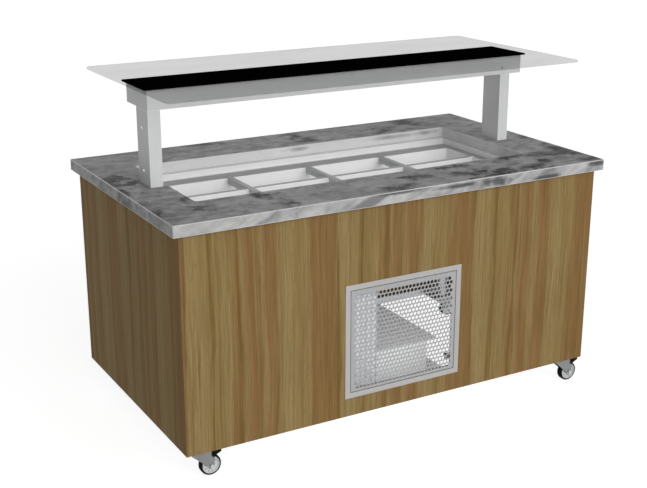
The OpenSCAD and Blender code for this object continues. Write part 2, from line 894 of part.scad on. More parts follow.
// Domed screw heads on the outer faces of both posts
module post_screws() {
    color([0.85, 0.85, 0.86]) for (s = [-1, 1], z = screw_z)
        translate([s * post_x, screw_y, z]) rotate([0, s * 90, 0]) intersection() {
            translate([0, 0, screw_h - screw_dome]) sphere(screw_dome);
            cylinder(r = screw_r, h = screw_h + eps);
        }
}

module canopy() {
    x0 = canopy_x - canopy_l / 2;
    y0 = canopy_y - canopy_d / 2;
    color(steel) difference() {
        box([x0, y0, canopy_z], [x0 + canopy_l, y0 + canopy_d, canopy_z + canopy_h]);
        box([x0 + sheet, y0 + sheet, canopy_z + sheet],
            [x0 + canopy_l - sheet, y0 + canopy_d - sheet, canopy_z + canopy_h - sheet]);
        box([-window_l / 2, canopy_y - window_d / 2, canopy_z - eps],
            [window_l / 2, canopy_y + window_d / 2, canopy_z + 2 * sheet]);
    }
}

module canopy_top_plate() {
    color(black) round_block(canopy_x, canopy_y, plate_z, canopy_l + 2 * plate_lip, canopy_d + 2 * plate_lip,
        plate_t, 3);
}

module glass_shelf() {
    color([0.80, 0.84, 0.84, 0.4]) round_block(canopy_x, canopy_y, glass_z, glass_l, glass_w, glass_t, glass_r);
}

// Lamp between two holders that hang from the roof of the housing
module lamp_tube() {
    color([0.95, 0.95, 0.93]) rod_x([-lamp_l / 2, canopy_y, lamp_z], lamp_r, lamp_l);
    color(steel) for (s = [-1, 1])
        translate([s * (lamp_l + socket_l) / 2 - socket_l / 2, canopy_y - socket_w / 2, lamp_z - socket_drop])
            cube([socket_l, socket_w, plate_z - sheet - lamp_z + socket_drop]);
}

module lamp_diffuser() {
    l = window_l + 2 * diffuser_lip;
    w = window_d + 2 * diffuser_lip;
    color([0.95, 0.95, 0.95, 0.6]) translate([-l / 2, canopy_y - w / 2, canopy_z + sheet])
        cube([l, w, diffuser_t]);
}

// ---------------------------------------------------------------- controls

// Box around the middle of the controls, from y0 to y1 off the back panel's face
module in_controls(l, h, y0, y1) {
    translate([control_x - l / 2, back_y + y0, control_z - h / 2]) cube([l, y1 - y0, h]);
}

// Box around a switch, a given distance outside its rocker
module around_rocker(x, out, y0, y1) {
    box([x - rocker_w / 2 - out, back_y + y0, control_z - rocker_l / 2 - out],
        [x + rocker_w / 2 + out, back_y + y1, control_z + rocker_l / 2 + out]);
}

module control_plate() {
    color(steel) difference() {
        union() {
            in_controls(control_l, control_h, 0, sheet);
            for (x = switch_x)
                around_rocker(x, bezel, -bezel_in, bezel_out);
            rod_y([knob_x, back_y - knob_boss_in, control_z], knob_boss_r, knob_boss_in + sheet);
        }
        for (x = switch_x) {
            around_rocker(x, rocker_gap, -bezel_in - eps, bezel_out + eps);
            rod_x([x - rocker_w / 2 - rocker_pin_out, rocker_y, control_z], rocker_pin_r + run_gap,
                rocker_w + 2 * rocker_pin_out);
        }
        rod_y([knob_x, back_y - knob_boss_in - eps, control_z], knob_shaft_r + run_gap,
            knob_boss_in + sheet + 2 * eps);
    }
}

// Rocker with a low ridge, turning on a cross pin
module rocker(x) {
    half = rocker_l / 2;
    pin_l = rocker_w + 2 * rocker_pin_out - fit_gap;
    color(black) {
        difference() {
            translate([x - rocker_w / 2, rocker_y, control_z]) rotate([90, 0, 90])
                linear_extrude(rocker_w) rotate(rocker_tilt) polygon([
                    [-4, -half + 5], [4, -half], [7, -half], [5, 0], [7, half], [4, half], [-4, half - 5]
                ]);
            translate([x, rocker_y, control_z]) rotate([rocker_tilt, 0, 0]) box([-4, 5.2, 6], [4, 9, 7.5]);
        }
        rod_x([x - pin_l / 2, rocker_y, control_z], rocker_pin_r, pin_l);
    }
}

module power_switch() {
    rocker(switch_x[0]);
}

module light_switch() {
    rocker(switch_x[1]);
}

// Knob with a pointer rib on a round shaft
module thermostat_knob() {
    y = back_y + sheet + 0.5;
    grip_y = y + knob_flange - 0.5;
    color(black) {
        rod_y([knob_x, back_y - knob_boss_in + 2, control_z], knob_shaft_r, knob_boss_in + sheet);
        rod_y([knob_x, y, control_z], knob_r, knob_flange);
        rod_y([knob_x, grip_y, control_z], knob_grip_r, knob_grip_h);
        translate([knob_x - 2.5, grip_y, control_z]) cube([5, knob_grip_h + 1, knob_r - 2]);
    }
}

// Six-sided nut around the gland, from y outwards
module gland_nut(y) {
    translate([gland_x, y, gland_z]) rotate([-90, 0, 0]) cylinder(r = gland_nut_r, h = gland_nut_t, $fn = 6);
}

// Cord gland through the back panel, bored for the mains cord
module power_gland() {
    y0 = back_y - panel_t;
    color(black) difference() {
        union() {
            rod_y([gland_x, y0 - gland_tail, gland_z], gland_r, panel_t + gland_tail + gland_nut_t);
            gland_nut(y0 - gland_nut_t);
            gland_nut(back_y);
            rod_y([gland_x, back_y + gland_nut_t, gland_z], gland_r + 2, gland_tail);
        }
        rod_y([gland_x, y0 - gland_tail - eps, gland_z], cord_r,
            panel_t + 2 * gland_tail + gland_nut_t + 2 * eps);
    }
}

// ---------------------------------------------------------------- casters

// Puts its child at a caster position: sx -1 is left, sy -1 is front
module at_caster(sx, sy) {
    translate([sx * caster_x, sy * caster_y, 0]) children();
}

module caster_plates() {
    color(steel) for (sx = [-1, 1], sy = [-1, 1]) at_caster(sx, sy) {
        translate([-caster_plate / 2, -caster_plate / 2, race_z + race_h])
            cube([caster_plate, caster_plate, caster_plate_t]);
        rod_z([0, 0, race_z], race_r, race_h);
        rod_z([0, 0, king_head_z], king_r, race_z - king_head_z);
        rod_z([0, 0, king_head_z], king_head_r, king_head_t);
    }
}

// Side plate of the fork in the XZ plane
module fork_leg() {
    difference() {
        union() {
            polygon([
                [-24, crown_z + 1], [-24, crown_z - 6], [trail - 10, axle_z - 3], [trail + 10, axle_z],
                [brake_x + 6, brake_z], [brake_x, brake_z + 5], [26, crown_z + 1]
            ]);
            translate([trail, axle_z]) circle(10);
            translate([brake_x, brake_z]) circle(6);
        }
        translate([trail, axle_z]) circle(axle_r);
        translate([brake_x, brake_z]) circle(brake_pin_r + run_gap);
    }
}

module fork() {
    color(steel) {
        difference() {
            rod_z([0, 0, crown_z], race_r, crown_t);
            rod_z([0, 0, crown_z - eps], king_r + run_gap, crown_t + 2 * eps);
        }
        for (s = [-1, 1])
            translate([0, s * (leg_in + leg_t / 2) + leg_t / 2, 0]) rotate([90, 0, 0])
                linear_extrude(leg_t) fork_leg();
    }
}

// Axle bolt through both legs, with a head and a nut
module axle() {
    half = leg_in + leg_t;
    color(steel) {
        rod_y([trail, -half - 2, axle_z], axle_r, 2 * half + 4);
        rod_y([trail, -half - axle_head_t, axle_z], axle_head_r, axle_head_t);
        translate([trail, half, axle_z]) rotate([-90, 0, 0])
            cylinder(r = axle_head_r, h = axle_head_t, $fn = 6);
    }
}

// Light hub with a dark tyre, bored for the axle
module wheel() {
    r = wheel_d / 2;
    w = wheel_w / 2;
    translate([trail, 0, axle_z]) rotate([90, 0, 0]) color([0.25, 0.25, 0.26])
        rotate_extrude($fn = 64) polygon([
            [axle_r + run_gap, -w - wheel_side], [11, -w - wheel_side], [13, -w + 5], [r - 9, -w + 5],
            [r - 8, -w + 1], [r - 3, -w + 1], [r, -w + 5], [r, w - 5], [r - 3, w - 1], [r - 8, w - 1],
            [r - 9, w - 5], [13, w - 5], [11, w + wheel_side], [axle_r + run_gap, w + wheel_side]
        ]);
}

// Pedal over the fork, a shoe above the tyre and a cross pin
module brake() {
    cheek = leg_in + leg_t + 0.6;
    half = cheek + cheek_t;
    toe_x = brake_x + pedal_l;
    plate = brake_z + pedal_up;
    top = plate + pedal_t;
    color(black) {
        box([brake_x - 6, -half, plate], [toe_x, half, top]);
        for (i = [1:pedal_ribs])
            box([toe_x + 1 - 6 * i, -half, top - eps], [toe_x + 4 - 6 * i, half, top + 2]);
        translate([brake_x + 4, -wheel_w / 2 + 1, brake_z - shoe_drop])
            cube([shoe_l, wheel_w - 2, shoe_drop + pedal_up + eps / 2]);
        for (s = [-1, 1])
            translate([0, s * (cheek + cheek_t / 2) + cheek_t / 2, 0]) rotate([90, 0, 0])
                linear_extrude(cheek_t) polygon([
                    [brake_x - 6, top], [brake_x - 6, brake_z - 8], [brake_x, brake_z - 16],
                    [brake_x + 8, brake_z - 8], [toe_x, brake_z + 1], [toe_x, top]
                ]);
        rod_y([brake_x, -cheek - 1, brake_z], brake_pin_r, 2 * cheek + 2);
    }
}

module front_left_fork() {
    at_caster(-1, -1) fork();
}

module front_right_fork() {
    at_caster(1, -1) fork();
}

module back_left_fork() {
    at_caster(-1, 1) fork();
}

module back_right_fork() {
    at_caster(1, 1) fork();
}

module front_left_axle() {
    at_caster(-1, -1) axle();
}

module front_right_axle() {
    at_caster(1, -1) axle();
}

module back_left_axle() {
    at_caster(-1, 1) axle();
}

module back_right_axle() {
    at_caster(1, 1) axle();
}

module front_left_wheel() {
    at_caster(-1, -1) wheel();
}

module front_right_wheel() {
    at_caster(1, -1) wheel();
}

module back_left_wheel() {
    at_caster(-1, 1) wheel();
}

module back_right_wheel() {
    at_caster(1, 1) wheel();
}

module front_left_brake() {
    at_caster(-1, -1) brake();
}

module front_right_brake() {
    at_caster(1, -1) brake();
}

chassis_frame();
front_panel();
back_panel();
left_panel();
right_panel();
countertop();
well_liner();
tank_insulation();
tank_casing();
cross_rail();
left_divider();
middle_divider();
right_divider();
evaporator_coil();
evaporator_motor();
evaporator_fan();
drain_outlet();
drain_valve();
drain_lever();
unit_tray();
condenser_coil();
fan_shroud();
fan_motor();
fan_blade();
compressor();
compressor_feet();
refrigerant_pipes();
electrical_box();
electrical_lid();
grille_frame();
grille_door();
grille_lock();
left_post();
right_post();
post_screws();
canopy();
canopy_top_plate();
glass_shelf();
lamp_tube();
lamp_diffuser();
control_plate();
power_switch();
light_switch();
thermostat_knob();
power_gland();
caster_plates();
front_left_fork();
front_right_fork();
back_left_fork();
back_right_fork();
front_left_axle();
front_right_axle();
back_left_axle();
back_right_axle();
front_left_wheel();
front_right_wheel();
back_left_wheel();
back_right_wheel();
front_left_brake();
front_right_brake();
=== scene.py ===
"""Looks of the mobile salad bar: materials, finer pieces, studio and camera around the CAD frame.

Most CAD nodes are replaced by pieces with rounded edges or finer detail, which ride the same
bodies. Lengths are in metres, and in millimetres where they are multiplied by MM.
"""
import json
import math

import bmesh
import bpy
from mathutils import Matrix, Vector


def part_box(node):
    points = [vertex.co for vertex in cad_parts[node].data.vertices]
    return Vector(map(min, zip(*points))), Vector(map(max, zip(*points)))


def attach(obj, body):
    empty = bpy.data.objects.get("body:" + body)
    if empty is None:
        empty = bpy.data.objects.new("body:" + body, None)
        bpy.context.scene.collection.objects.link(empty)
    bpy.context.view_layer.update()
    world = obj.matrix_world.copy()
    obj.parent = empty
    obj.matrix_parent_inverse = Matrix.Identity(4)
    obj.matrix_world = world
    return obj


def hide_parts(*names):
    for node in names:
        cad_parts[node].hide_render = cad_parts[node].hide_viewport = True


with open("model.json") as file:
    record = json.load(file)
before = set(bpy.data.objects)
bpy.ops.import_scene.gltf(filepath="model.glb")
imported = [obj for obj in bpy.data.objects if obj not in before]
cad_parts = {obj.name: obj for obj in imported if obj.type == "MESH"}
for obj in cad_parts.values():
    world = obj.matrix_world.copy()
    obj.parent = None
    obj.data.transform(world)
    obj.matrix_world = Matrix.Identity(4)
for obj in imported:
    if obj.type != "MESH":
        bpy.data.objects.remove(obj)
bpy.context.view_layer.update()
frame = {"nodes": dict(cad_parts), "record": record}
nodes = frame["nodes"]

BODY_OF = {
    node: body
    for body, names in frame["record"]["behaviour"]["bodies"].items()
    for node in names
}
SLOT_OF = {part["node"]: part["material_slot"] for part in frame["record"]["subparts"]}
CORNERS = ("front_left", "front_right", "back_left", "back_right")
MM = 0.001


# ------------------------------------------------------------------ node trees

# The part of a noise's range that most of its values lie in
NOISE_LOW = 0.3
NOISE_HIGH = 0.7


def srgb(r, g, b):
    """Linear colour of an 8-bit screen colour."""
    def linear(v):
        v /= 255
        return v / 12.92 if v <= 0.04045 else ((v + 0.055) / 1.055) ** 2.4
    return (linear(r), linear(g), linear(b), 1)


def grey(level):
    return srgb(level, level, level)


class Tree:
    """A material's nodes. Most methods add one node and return its output."""

    def __init__(self, name):
        self.material = bpy.data.materials.new(name)
        self.material.use_nodes = True
        self.nodes = self.material.node_tree.nodes
        self.links = self.material.node_tree.links
        self.nodes.clear()
        self.output = self.nodes.new("ShaderNodeOutputMaterial")
        self.bsdf = self.nodes.new("ShaderNodeBsdfPrincipled")
        self.links.new(self.bsdf.outputs[0], self.output.inputs["Surface"])
        self.place = self.nodes.new("ShaderNodeTexCoord").outputs["Object"]

    def put(self, socket, value):
        """Sets a socket to a number or colour, or links an output to it."""
        if isinstance(value, bpy.types.NodeSocket):
            self.links.new(value, socket)
        else:
            socket.default_value = value

    def shade(self, **values):
        """Sets the shader's sockets, with _ for a space in their names."""
        for name, value in values.items():
            self.put(self.bsdf.inputs[name.replace("_", " ")], value)

    def stretch(self, x, y, z, source=None):
        """The object's own coordinates, or another vector, scaled on each axis."""
        node = self.nodes.new("ShaderNodeMapping")
        self.put(node.inputs["Vector"], source or self.place)
        node.inputs["Scale"].default_value = (x, y, z)
        return node.outputs[0]

    def tilted(self, angle):
        """The object's own coordinates, turned about Y."""
        node = self.nodes.new("ShaderNodeMapping")
        self.put(node.inputs["Vector"], self.place)
        node.inputs["Rotation"].default_value = (0, math.radians(angle), 0)
        return node.outputs[0]

    def noise(self, place, scale=1.0, detail=3.0, roughness=0.5, distortion=0.0, colour=False):
        node = self.nodes.new("ShaderNodeTexNoise")
        self.put(node.inputs["Vector"], place)
        node.inputs["Scale"].default_value = scale
        node.inputs["Detail"].default_value = detail
        node.inputs["Roughness"].default_value = roughness
        node.inputs["Distortion"].default_value = distortion
        return node.outputs["Color" if colour else "Fac"]

    def warp(self, place, scale, detail, roughness, reach):
        """A place pushed about by a noise, by up to half the reach either way."""
        push = self.noise(self.place, scale, detail, roughness, colour=True)
        push = self.vector("SUBTRACT", push, (0.5, 0.5, 0.5))
        return self.vector("ADD", place, self.vector("MULTIPLY", push, reach))

    def ramp(self, value, *stops):
        """Colour ramp through (position, colour) stops."""
        node = self.nodes.new("ShaderNodeValToRGB")
        self.put(node.inputs["Fac"], value)
        points = node.color_ramp.elements
        while len(points) < len(stops):
            points.new(0.5)
        for point, (position, colour) in zip(points, stops):
            point.position = position
            point.color = colour
        return node.outputs["Color"]

    def span(self, value, low, high, to_low=0.0, to_high=1.0):
        """Maps low..high to to_low..to_high, clamped."""
        node = self.nodes.new("ShaderNodeMapRange")
        self.put(node.inputs["Value"], value)
        node.inputs["From Min"].default_value = low
        node.inputs["From Max"].default_value = high
        node.inputs["To Min"].default_value = to_low
        node.inputs["To Max"].default_value = to_high
        return node.outputs["Result"]

    def vary(self, noise, to_low, to_high):
        """Maps the usual range of a noise to to_low..to_high."""
        return self.span(noise, NOISE_LOW, NOISE_HIGH, to_low, to_high)

    def mix(self, factor, a, b, blend="MIX"):
        node = self.nodes.new("ShaderNodeMix")
        node.data_type = "RGBA"
        node.blend_type = blend
        self.put(node.inputs["Factor"], factor)
        self.put(node.inputs[6], a)
        self.put(node.inputs[7], b)
        return node.outputs[2]

    def math(self, operation, a, b=0.0):
        node = self.nodes.new("ShaderNodeMath")
        node.operation = operation
        self.put(node.inputs[0], a)
        self.put(node.inputs[1], b)
        return node.outputs[0]

    def vector(self, operation, a, b):
        node = self.nodes.new("ShaderNodeVectorMath")
        node.operation = operation
        self.put(node.inputs[0], a)
        self.put(node.inputs[1], b)
        return node.outputs[0]

    def axis(self, which, source=None):
        """One coordinate of the object's place, or of another vector."""
        node = self.nodes.new("ShaderNodeSeparateXYZ")
        self.put(node.inputs[0], source or self.place)
        return node.outputs[which]

    def off_centre(self, which):
        """Distance from the middle plane along one axis."""
        return self.math("ABSOLUTE", self.axis(which))

    def spot(self, place, at, size, turn=0.0):
        """1 at a point, falling to 0 at the edge of an ellipsoid of those half sizes."""
        node = self.nodes.new("ShaderNodeMapping")
        node.vector_type = "TEXTURE"
        self.put(node.inputs["Vector"], place)
        node.inputs["Location"].default_value = at
        node.inputs["Rotation"].default_value = (0, 0, math.radians(turn))
        node.inputs["Scale"].default_value = size
        ball = self.nodes.new("ShaderNodeTexGradient")
        ball.gradient_type = "SPHERICAL"
        self.put(ball.inputs["Vector"], node.outputs[0])
        return ball.outputs["Fac"]

    def facing_up(self):
        """1 on faces that look up."""
        normal = self.nodes.new("ShaderNodeNewGeometry").outputs["Normal"]
        return self.span(self.axis("Z", normal), 0.5, 0.95)

    def bump(self, height, depth):
        """Bump of that depth in metres."""
        node = self.nodes.new("ShaderNodeBump")
        node.inputs["Strength"].default_value = 1.0
        node.inputs["Distance"].default_value = depth
        self.put(node.inputs["Height"], height)
        return node.outputs[0]


# ------------------------------------------------------------------ wood and stone

# Width of a veneer leaf and where the first one starts, along X on the front and -Y on the ends
LEAF = 0.55
LEAF_START = -0.3545
RING_TURNS = 46


def laminate():
    """Wood laminate with an upright grain: leaves side by side, olive tan to reddish brown."""
    t = Tree("laminate")
    around = t.math("SUBTRACT", t.axis("X"), t.axis("Y"))
    turns = t.math("DIVIDE", t.math("SUBTRACT", around, LEAF_START), LEAF)
    leaf = t.math("FRACT", turns)
    broad = t.noise(t.stretch(5, 5, 1.6), 1.0, 3)
    narrow = t.noise(t.stretch(60, 60, 2.2), 1.0, 3, 0.6)
    shift = t.vary(broad, -0.016, 0.016)
    across = t.math("ADD", leaf, t.math("ADD", shift, t.vary(narrow, -0.022, 0.022)))
    joined = t.nodes.new("ShaderNodeCombineXYZ")
    t.put(joined.inputs["X"], t.math("MULTIPLY", t.math("ADD", leaf, shift), LEAF))
    t.put(joined.inputs["Y"], t.math("FLOOR", turns))
    t.put(joined.inputs["Z"], t.axis("Z"))
    place = joined.outputs[0]
    olive, tan, pale = srgb(143, 121, 77), srgb(150, 128, 85), srgb(155, 134, 91)
    red, brown, dark = srgb(141, 110, 72), srgb(135, 106, 64), srgb(120, 93, 53)
    base = t.ramp(
        across,
        (0.00, dark), (0.02, tan), (0.08, pale), (0.15, olive), (0.172, dark), (0.19, olive),
        (0.28, tan), (0.33, brown), (0.35, dark), (0.37, tan), (0.41, red), (0.45, brown),
        (0.50, tan), (0.53, red), (0.59, brown), (0.62, tan), (0.68, pale), (0.74, olive),
        (0.80, tan), (0.835, brown), (0.88, red), (0.93, brown), (0.97, red), (1.00, brown),
    )
    streak = t.noise(t.stretch(70, 1, 1.4, place), 1.0, 4, 0.62)
    grain = t.noise(t.stretch(150, 1, 4, place), 1.0, 3, 0.6)
    fibre = t.noise(t.stretch(330, 1, 7, place), 1.0, 3, 0.65)
    growth = t.noise(t.stretch(24, 1, 2.1, place), 1.0, 2, 0.5, 0.6)
    rings = t.math("ABSOLUTE", t.math("SINE", t.math("MULTIPLY", growth, RING_TURNS)))
    patch = t.noise(t.stretch(9, 9, 2.2), 1.0, 3, 0.5)
    base = t.mix(t.span(streak, 0.54, 0.68, 0, 0.7), base, dark)
    base = t.mix(t.span(streak, 0.46, 0.34, 0, 0.55), base, pale)
    base = t.mix(t.span(rings, 0.55, 0.05, 0, 0.35), base, brown)
    base = t.mix(t.span(patch, 0.52, 0.70, 0, 0.25), base, red)
    tone = t.math(
        "MULTIPLY", t.span(grain, 0.35, 0.65, 0.86, 1.10), t.span(fibre, 0.35, 0.65, 0.88, 1.08)
    )
    pores = t.math("ADD", t.math("MULTIPLY", fibre, 0.6), t.math("MULTIPLY", rings, 0.2))
    t.shade(
        Base_Color=t.mix(1.0, base, tone, "MULTIPLY"),
        Roughness=t.vary(fibre, 0.50, 0.62),
        Specular_IOR_Level=0.035,
        Normal=t.bump(pores, 0.0004),
    )
    return t.material


# Half sizes of the stone slab
STONE_X = 0.85
STONE_Y = 0.485

# Dark streaks on the front edge of the stone: middle and half sizes
EDGE_STREAKS = [
    ((-0.03, -0.485, 0.896), (0.11, 0.06, 0.010)),
    ((0.20, -0.485, 0.886), (0.12, 0.06, 0.010)),
    ((0.37, -0.485, 0.880), (0.07, 0.06, 0.026)),
    ((0.585, -0.485, 0.868), (0.09, 0.06, 0.012)),
    ((0.82, -0.485, 0.890), (0.06, 0.06, 0.014)),
]
# Dark marks on the back edge of the cut-out: X and half length
BACK_MARKS = [(-0.021, 0.08), (0.400, 0.12), (0.564, 0.08)]
# Dark smudges in the stone: middle, half sizes, turn in plan and depth of tone
SMUDGES = [
    ((-0.835, 0.145), (0.055, 0.050), 0, 1.0), ((-0.790, 0.040), (0.050, 0.055), 20, 0.7),
    ((-0.330, 0.470), (0.110, 0.045), 0, 0.6), ((0.035, 0.420), (0.050, 0.100), -10, 0.75),
    ((0.055, 0.335), (0.060, 0.055), 0, 0.9), ((0.405, 0.340), (0.085, 0.050), 15, 0.8),
    ((0.575, 0.415), (0.060, 0.110), 20, 1.0), ((0.640, 0.330), (0.040, 0.080), 30, 0.5),
    ((0.815, -0.270), (0.050, 0.120), 0, 1.0), ((0.830, -0.040), (0.035, 0.080), 0, 0.5),
    ((-0.465, -0.310), (0.035, 0.085), 8, 0.9), ((-0.700, -0.245), (0.045, 0.055), 0, 0.7),
    ((0.110, -0.355), (0.080, 0.050), 0, 0.75), ((0.305, -0.292), (0.090, 0.032), 0, 1.0),
    ((0.270, -0.405), (0.065, 0.050), -20, 1.0), ((0.345, -0.390), (0.040, 0.075), 10, 1.1),
    ((0.425, -0.445), (0.080, 0.040), 20, 1.0), ((0.545, -0.425), (0.090, 0.030), 12, 0.7),
    ((0.640, -0.380), (0.060, 0.035), 25, 1.0), ((-0.790, -0.370), (0.070, 0.060), -30, 0.5),
    ((-0.430, -0.440), (0.030, 0.080), 0, 0.5), ((-0.020, -0.450), (0.120, 0.040), 5, 0.7),
    ((0.790, -0.450), (0.070, 0.060), 30, 0.7), ((-0.845, -0.210), (0.030, 0.060), 0, 0.6),
    ((0.240, -0.490), (0.120, 0.020), 0, 0.8), ((0.590, -0.490), (0.060, 0.020), 0, 0.8),
    ((-0.805, 0.125), (0.100, 0.032), -45, 1.1), ((-0.840, 0.100), (0.030, 0.110), 0, 1.1),
    ((-0.850, -0.070), (0.035, 0.100), 0, 1.0), ((-0.850, -0.360), (0.030, 0.080), 0, 0.8),
    ((0.600, -0.300), (0.140, 0.035), 10, 0.8), ((0.775, -0.330), (0.120, 0.040), -15, 0.9),
    ((0.830, -0.450), (0.060, 0.040), 0, 0.9), ((0.360, -0.480), (0.140, 0.025), 5, 1.0),
    ((0.540, -0.440), (0.110, 0.035), 20, 1.0), ((-0.700, -0.340), (0.100, 0.030), -30, 0.8),
]


def marble():
    """Honed grey stone with soft dark smudges; its faces that look up are painted darker than its
    paler sides, as painted shade, and its outer edges have slanted drifts.
    """
    t = Tree("marble")
    place = t.warp(t.place, 11, 5, 0.65, (0.17, 0.15, 0.0))
    place = t.warp(place, 42, 4, 0.7, (0.05, 0.04, 0.0))
    smudge = None
    for (x, y), (half_x, half_y), turn, depth in SMUDGES:
        spot = t.spot(place, (x, y, 0.88), (half_x, half_y, 0.3), turn)
        spot = t.math("MULTIPLY", spot, depth)
        smudge = spot if smudge is None else t.math("MAXIMUM", smudge, spot)
    wisp = t.noise(t.stretch(16, 22, 22), 1.0, 6, 0.7)
    smudge = t.math("ADD", smudge, t.vary(wisp, -0.34, 0.30))
    cloud = t.noise(t.stretch(6, 8, 8), 1.0, 6, 0.65)
    drift = t.noise(t.stretch(3.0, 12, 12, t.tilted(24)), 1.0, 5, 0.6, 0.4)
    outer_x = t.span(t.off_centre("X"), STONE_X - 0.020, STONE_X - 0.005)
    outer_y = t.span(t.off_centre("Y"), STONE_Y - 0.015, STONE_Y - 0.005)
    outer = t.math("MAXIMUM", outer_x, outer_y)
    top = t.ramp(cloud, (0.30, srgb(146, 146, 148)), (0.50, srgb(173, 173, 174)), (0.70, grey(194)))
    behind = t.spot(place, (-0.08, 0.40, 0.9), (0.65, 0.14, 0.3))
    top = t.mix(t.span(behind, 0, 1, 0, 0.4), top, grey(222))
    edge = t.ramp(
        drift,
        (0.32, srgb(138, 138, 140)), (0.42, grey(178)), (0.52, srgb(202, 202, 201)),
        (0.66, srgb(156, 156, 157)),
    )
    inner = t.ramp(cloud, (0.30, srgb(208, 208, 209)), (0.70, grey(226)))
    # Painted shade: faces that look up take the darker top colours, the sides the paler edge and
    # inner colours
    upward = t.facing_up()
    base = t.mix(upward, t.mix(outer, inner, edge), top)
    where = t.math("MAXIMUM", upward, t.math("MULTIPLY", outer, 0.4))
    shown = t.math("MULTIPLY", t.span(smudge, -0.14, 0.56, 0, 0.94), where)
    shown = t.math("MULTIPLY", shown, t.span(wisp, 0.36, 0.62, 0.72, 1.0))
    base = t.mix(shown, base, srgb(34, 34, 37))
    for x, length in BACK_MARKS:
        mark = t.spot(place, (x, 0.266, 0.886), (length, 0.08, 0.012))
        base = t.mix(t.span(mark, 0.0, 0.8, 0, 0.6), base, srgb(104, 104, 106))
    for at, size in EDGE_STREAKS:
        streak = t.span(t.spot(place, at, size), 0.0, 0.6, 0, 0.8)
        base = t.mix(t.math("MULTIPLY", streak, outer), base, srgb(70, 70, 72))
    grit = t.noise(t.place, 320, 2, 0.6)
    t.shade(
        Base_Color=t.mix(0.12, base, grit, "OVERLAY"),
        Roughness=t.vary(cloud, 0.40, 0.52),
        Specular_IOR_Level=0.01,
        Normal=t.bump(grit, 0.00006),
    )
    return t.material


# ------------------------------------------------------------------ metals, coatings and glass

GRAIN_ACROSS = 420
GRAIN_ALONG = 4
SMEAR_COARSER = 60

# In the well, faces that look up get less painted shade above this height and none beyond this
# width, as painted bright lines by the walls
LEDGE_FADE = (0.845, 0.850)
WALL_FADE = (0.228, 0.236)


def brushed(name, colour, along, metallic=0.06, rough=0.42, up=0.8, well=False):
    """Sheet steel with its grain along one axis, painted darker by the factor up on faces that look
    up, as painted shade.
    """
    t = Tree(name)
    scale = [GRAIN_ACROSS] * 3
    scale["XYZ".index(along)] = GRAIN_ALONG
    lines = t.noise(t.stretch(*scale), 1.0, 3, 0.65)
    smear = t.noise(t.stretch(*[v / SMEAR_COARSER for v in scale]), 1.0, 3, 0.5)
    blotch = t.noise(t.place, 4.5, 3, 0.5)
    tone = t.math("MULTIPLY", t.vary(lines, 0.95, 1.04), t.vary(blotch, 0.97, 1.02))
    # Painted shade: faces that look up are darkened by the factor up
    painted_top_shade = t.facing_up()
    if well:
        painted_top_shade = t.math("MULTIPLY", painted_top_shade, t.span(t.axis("Z"), *LEDGE_FADE, 1, 0.25))
        painted_top_shade = t.math("MULTIPLY", painted_top_shade, t.span(t.off_centre("Y"), *WALL_FADE, 1, 0))
    tone = t.math("MULTIPLY", tone, t.span(painted_top_shade, 0, 1, 1, up))
    uneven = t.vary(lines, rough - 0.06, rough + 0.06)
    t.shade(
        Base_Color=t.mix(1.0, srgb(*colour), tone, "MULTIPLY"),
        Metallic=metallic,
        Specular_IOR_Level=0.1,
        Roughness=t.math("ADD", uneven, t.span(smear, 0.4, 0.7, 0, 0.06)),
        Normal=t.bump(lines, 0.00004),
    )
    return t.material


def painted(name, colour, rough=0.4, grain=900, depth=0.00003, metallic=0.0, sheen=0.5):
    """Coated or moulded surface: fine texture, uneven gloss and a slight change of tone."""
    t = Tree(name)
    fine = t.noise(t.place, grain, 2, 0.6)
    broad = t.noise(t.place, 14, 4, 0.55)
    uneven = t.vary(fine, rough - 0.05, rough + 0.05)
    t.shade(
        Base_Color=t.mix(1.0, srgb(*colour), t.vary(broad, 0.90, 1.08), "MULTIPLY"),
        Metallic=metallic,
        Specular_IOR_Level=sheen,
        Roughness=t.math("ADD", uneven, t.span(broad, 0.4, 0.7, 0, 0.08)),
        Normal=t.bump(fine, depth),
    )
    return t.material


def lit(name, colour, strength):
    """Milky lamp surface that glows a little."""
    t = Tree(name)
    cloud = t.noise(t.place, 60, 3, 0.5)
    t.shade(
        Base_Color=t.mix(1.0, srgb(*colour), t.vary(cloud, 0.96, 1.0), "MULTIPLY"),
        Roughness=t.vary(cloud, 0.3, 0.4),
        Emission_Color=srgb(*colour),
        Emission_Strength=strength,
        Normal=t.bump(cloud, 0.00005),
    )
    return t.material


def clear_glass():
    """Clear sheet glass: each face takes a fifth of the light, with faint smears."""
    t = Tree("clear_glass")
    smear = t.noise(t.stretch(3, 9, 9), 1.0, 4, 0.6)
    t.shade(
        Base_Color=srgb(12, 14, 14),
        Alpha=t.vary(smear, 0.20, 0.235),
        Roughness=t.span(smear, 0.4, 0.75, 0.16, 0.24),
        Specular_IOR_Level=0.0,
    )
    return t.material


def finned():
    """Edge-on aluminium fins with some dust."""
    t = Tree("fins")
    fins = t.nodes.new("ShaderNodeTexWave")
    t.put(fins.inputs["Vector"], t.place)
    fins.inputs["Scale"].default_value = 90
    fins.inputs["Distortion"].default_value = 0.15
    dust = t.noise(t.place, 30, 4, 0.6)
    base = t.mix(fins.outputs["Fac"], srgb(196, 198, 201), srgb(236, 238, 240))
    t.shade(
        Base_Color=t.mix(t.span(dust, 0.5, 0.75, 0, 0.35), base, srgb(150, 146, 138)),
        Metallic=0.2,
        Roughness=0.5,
        Normal=t.bump(fins.outputs["Fac"], 0.0008),
    )
    return t.material


def copper():
    """Copper tube, brighter where it is clean and brown where it is stained."""
    t = Tree("copper")
    stain = t.noise(t.place, 28, 4, 0.6)
    base = t.ramp(
        stain, (0.35, srgb(126, 74, 52)), (0.55, srgb(190, 122, 88)), (0.7, srgb(206, 142, 108))
    )
    t.shade(Base_Color=base, Metallic=0.9, Roughness=t.vary(stain, 0.5, 0.3))
    return t.material


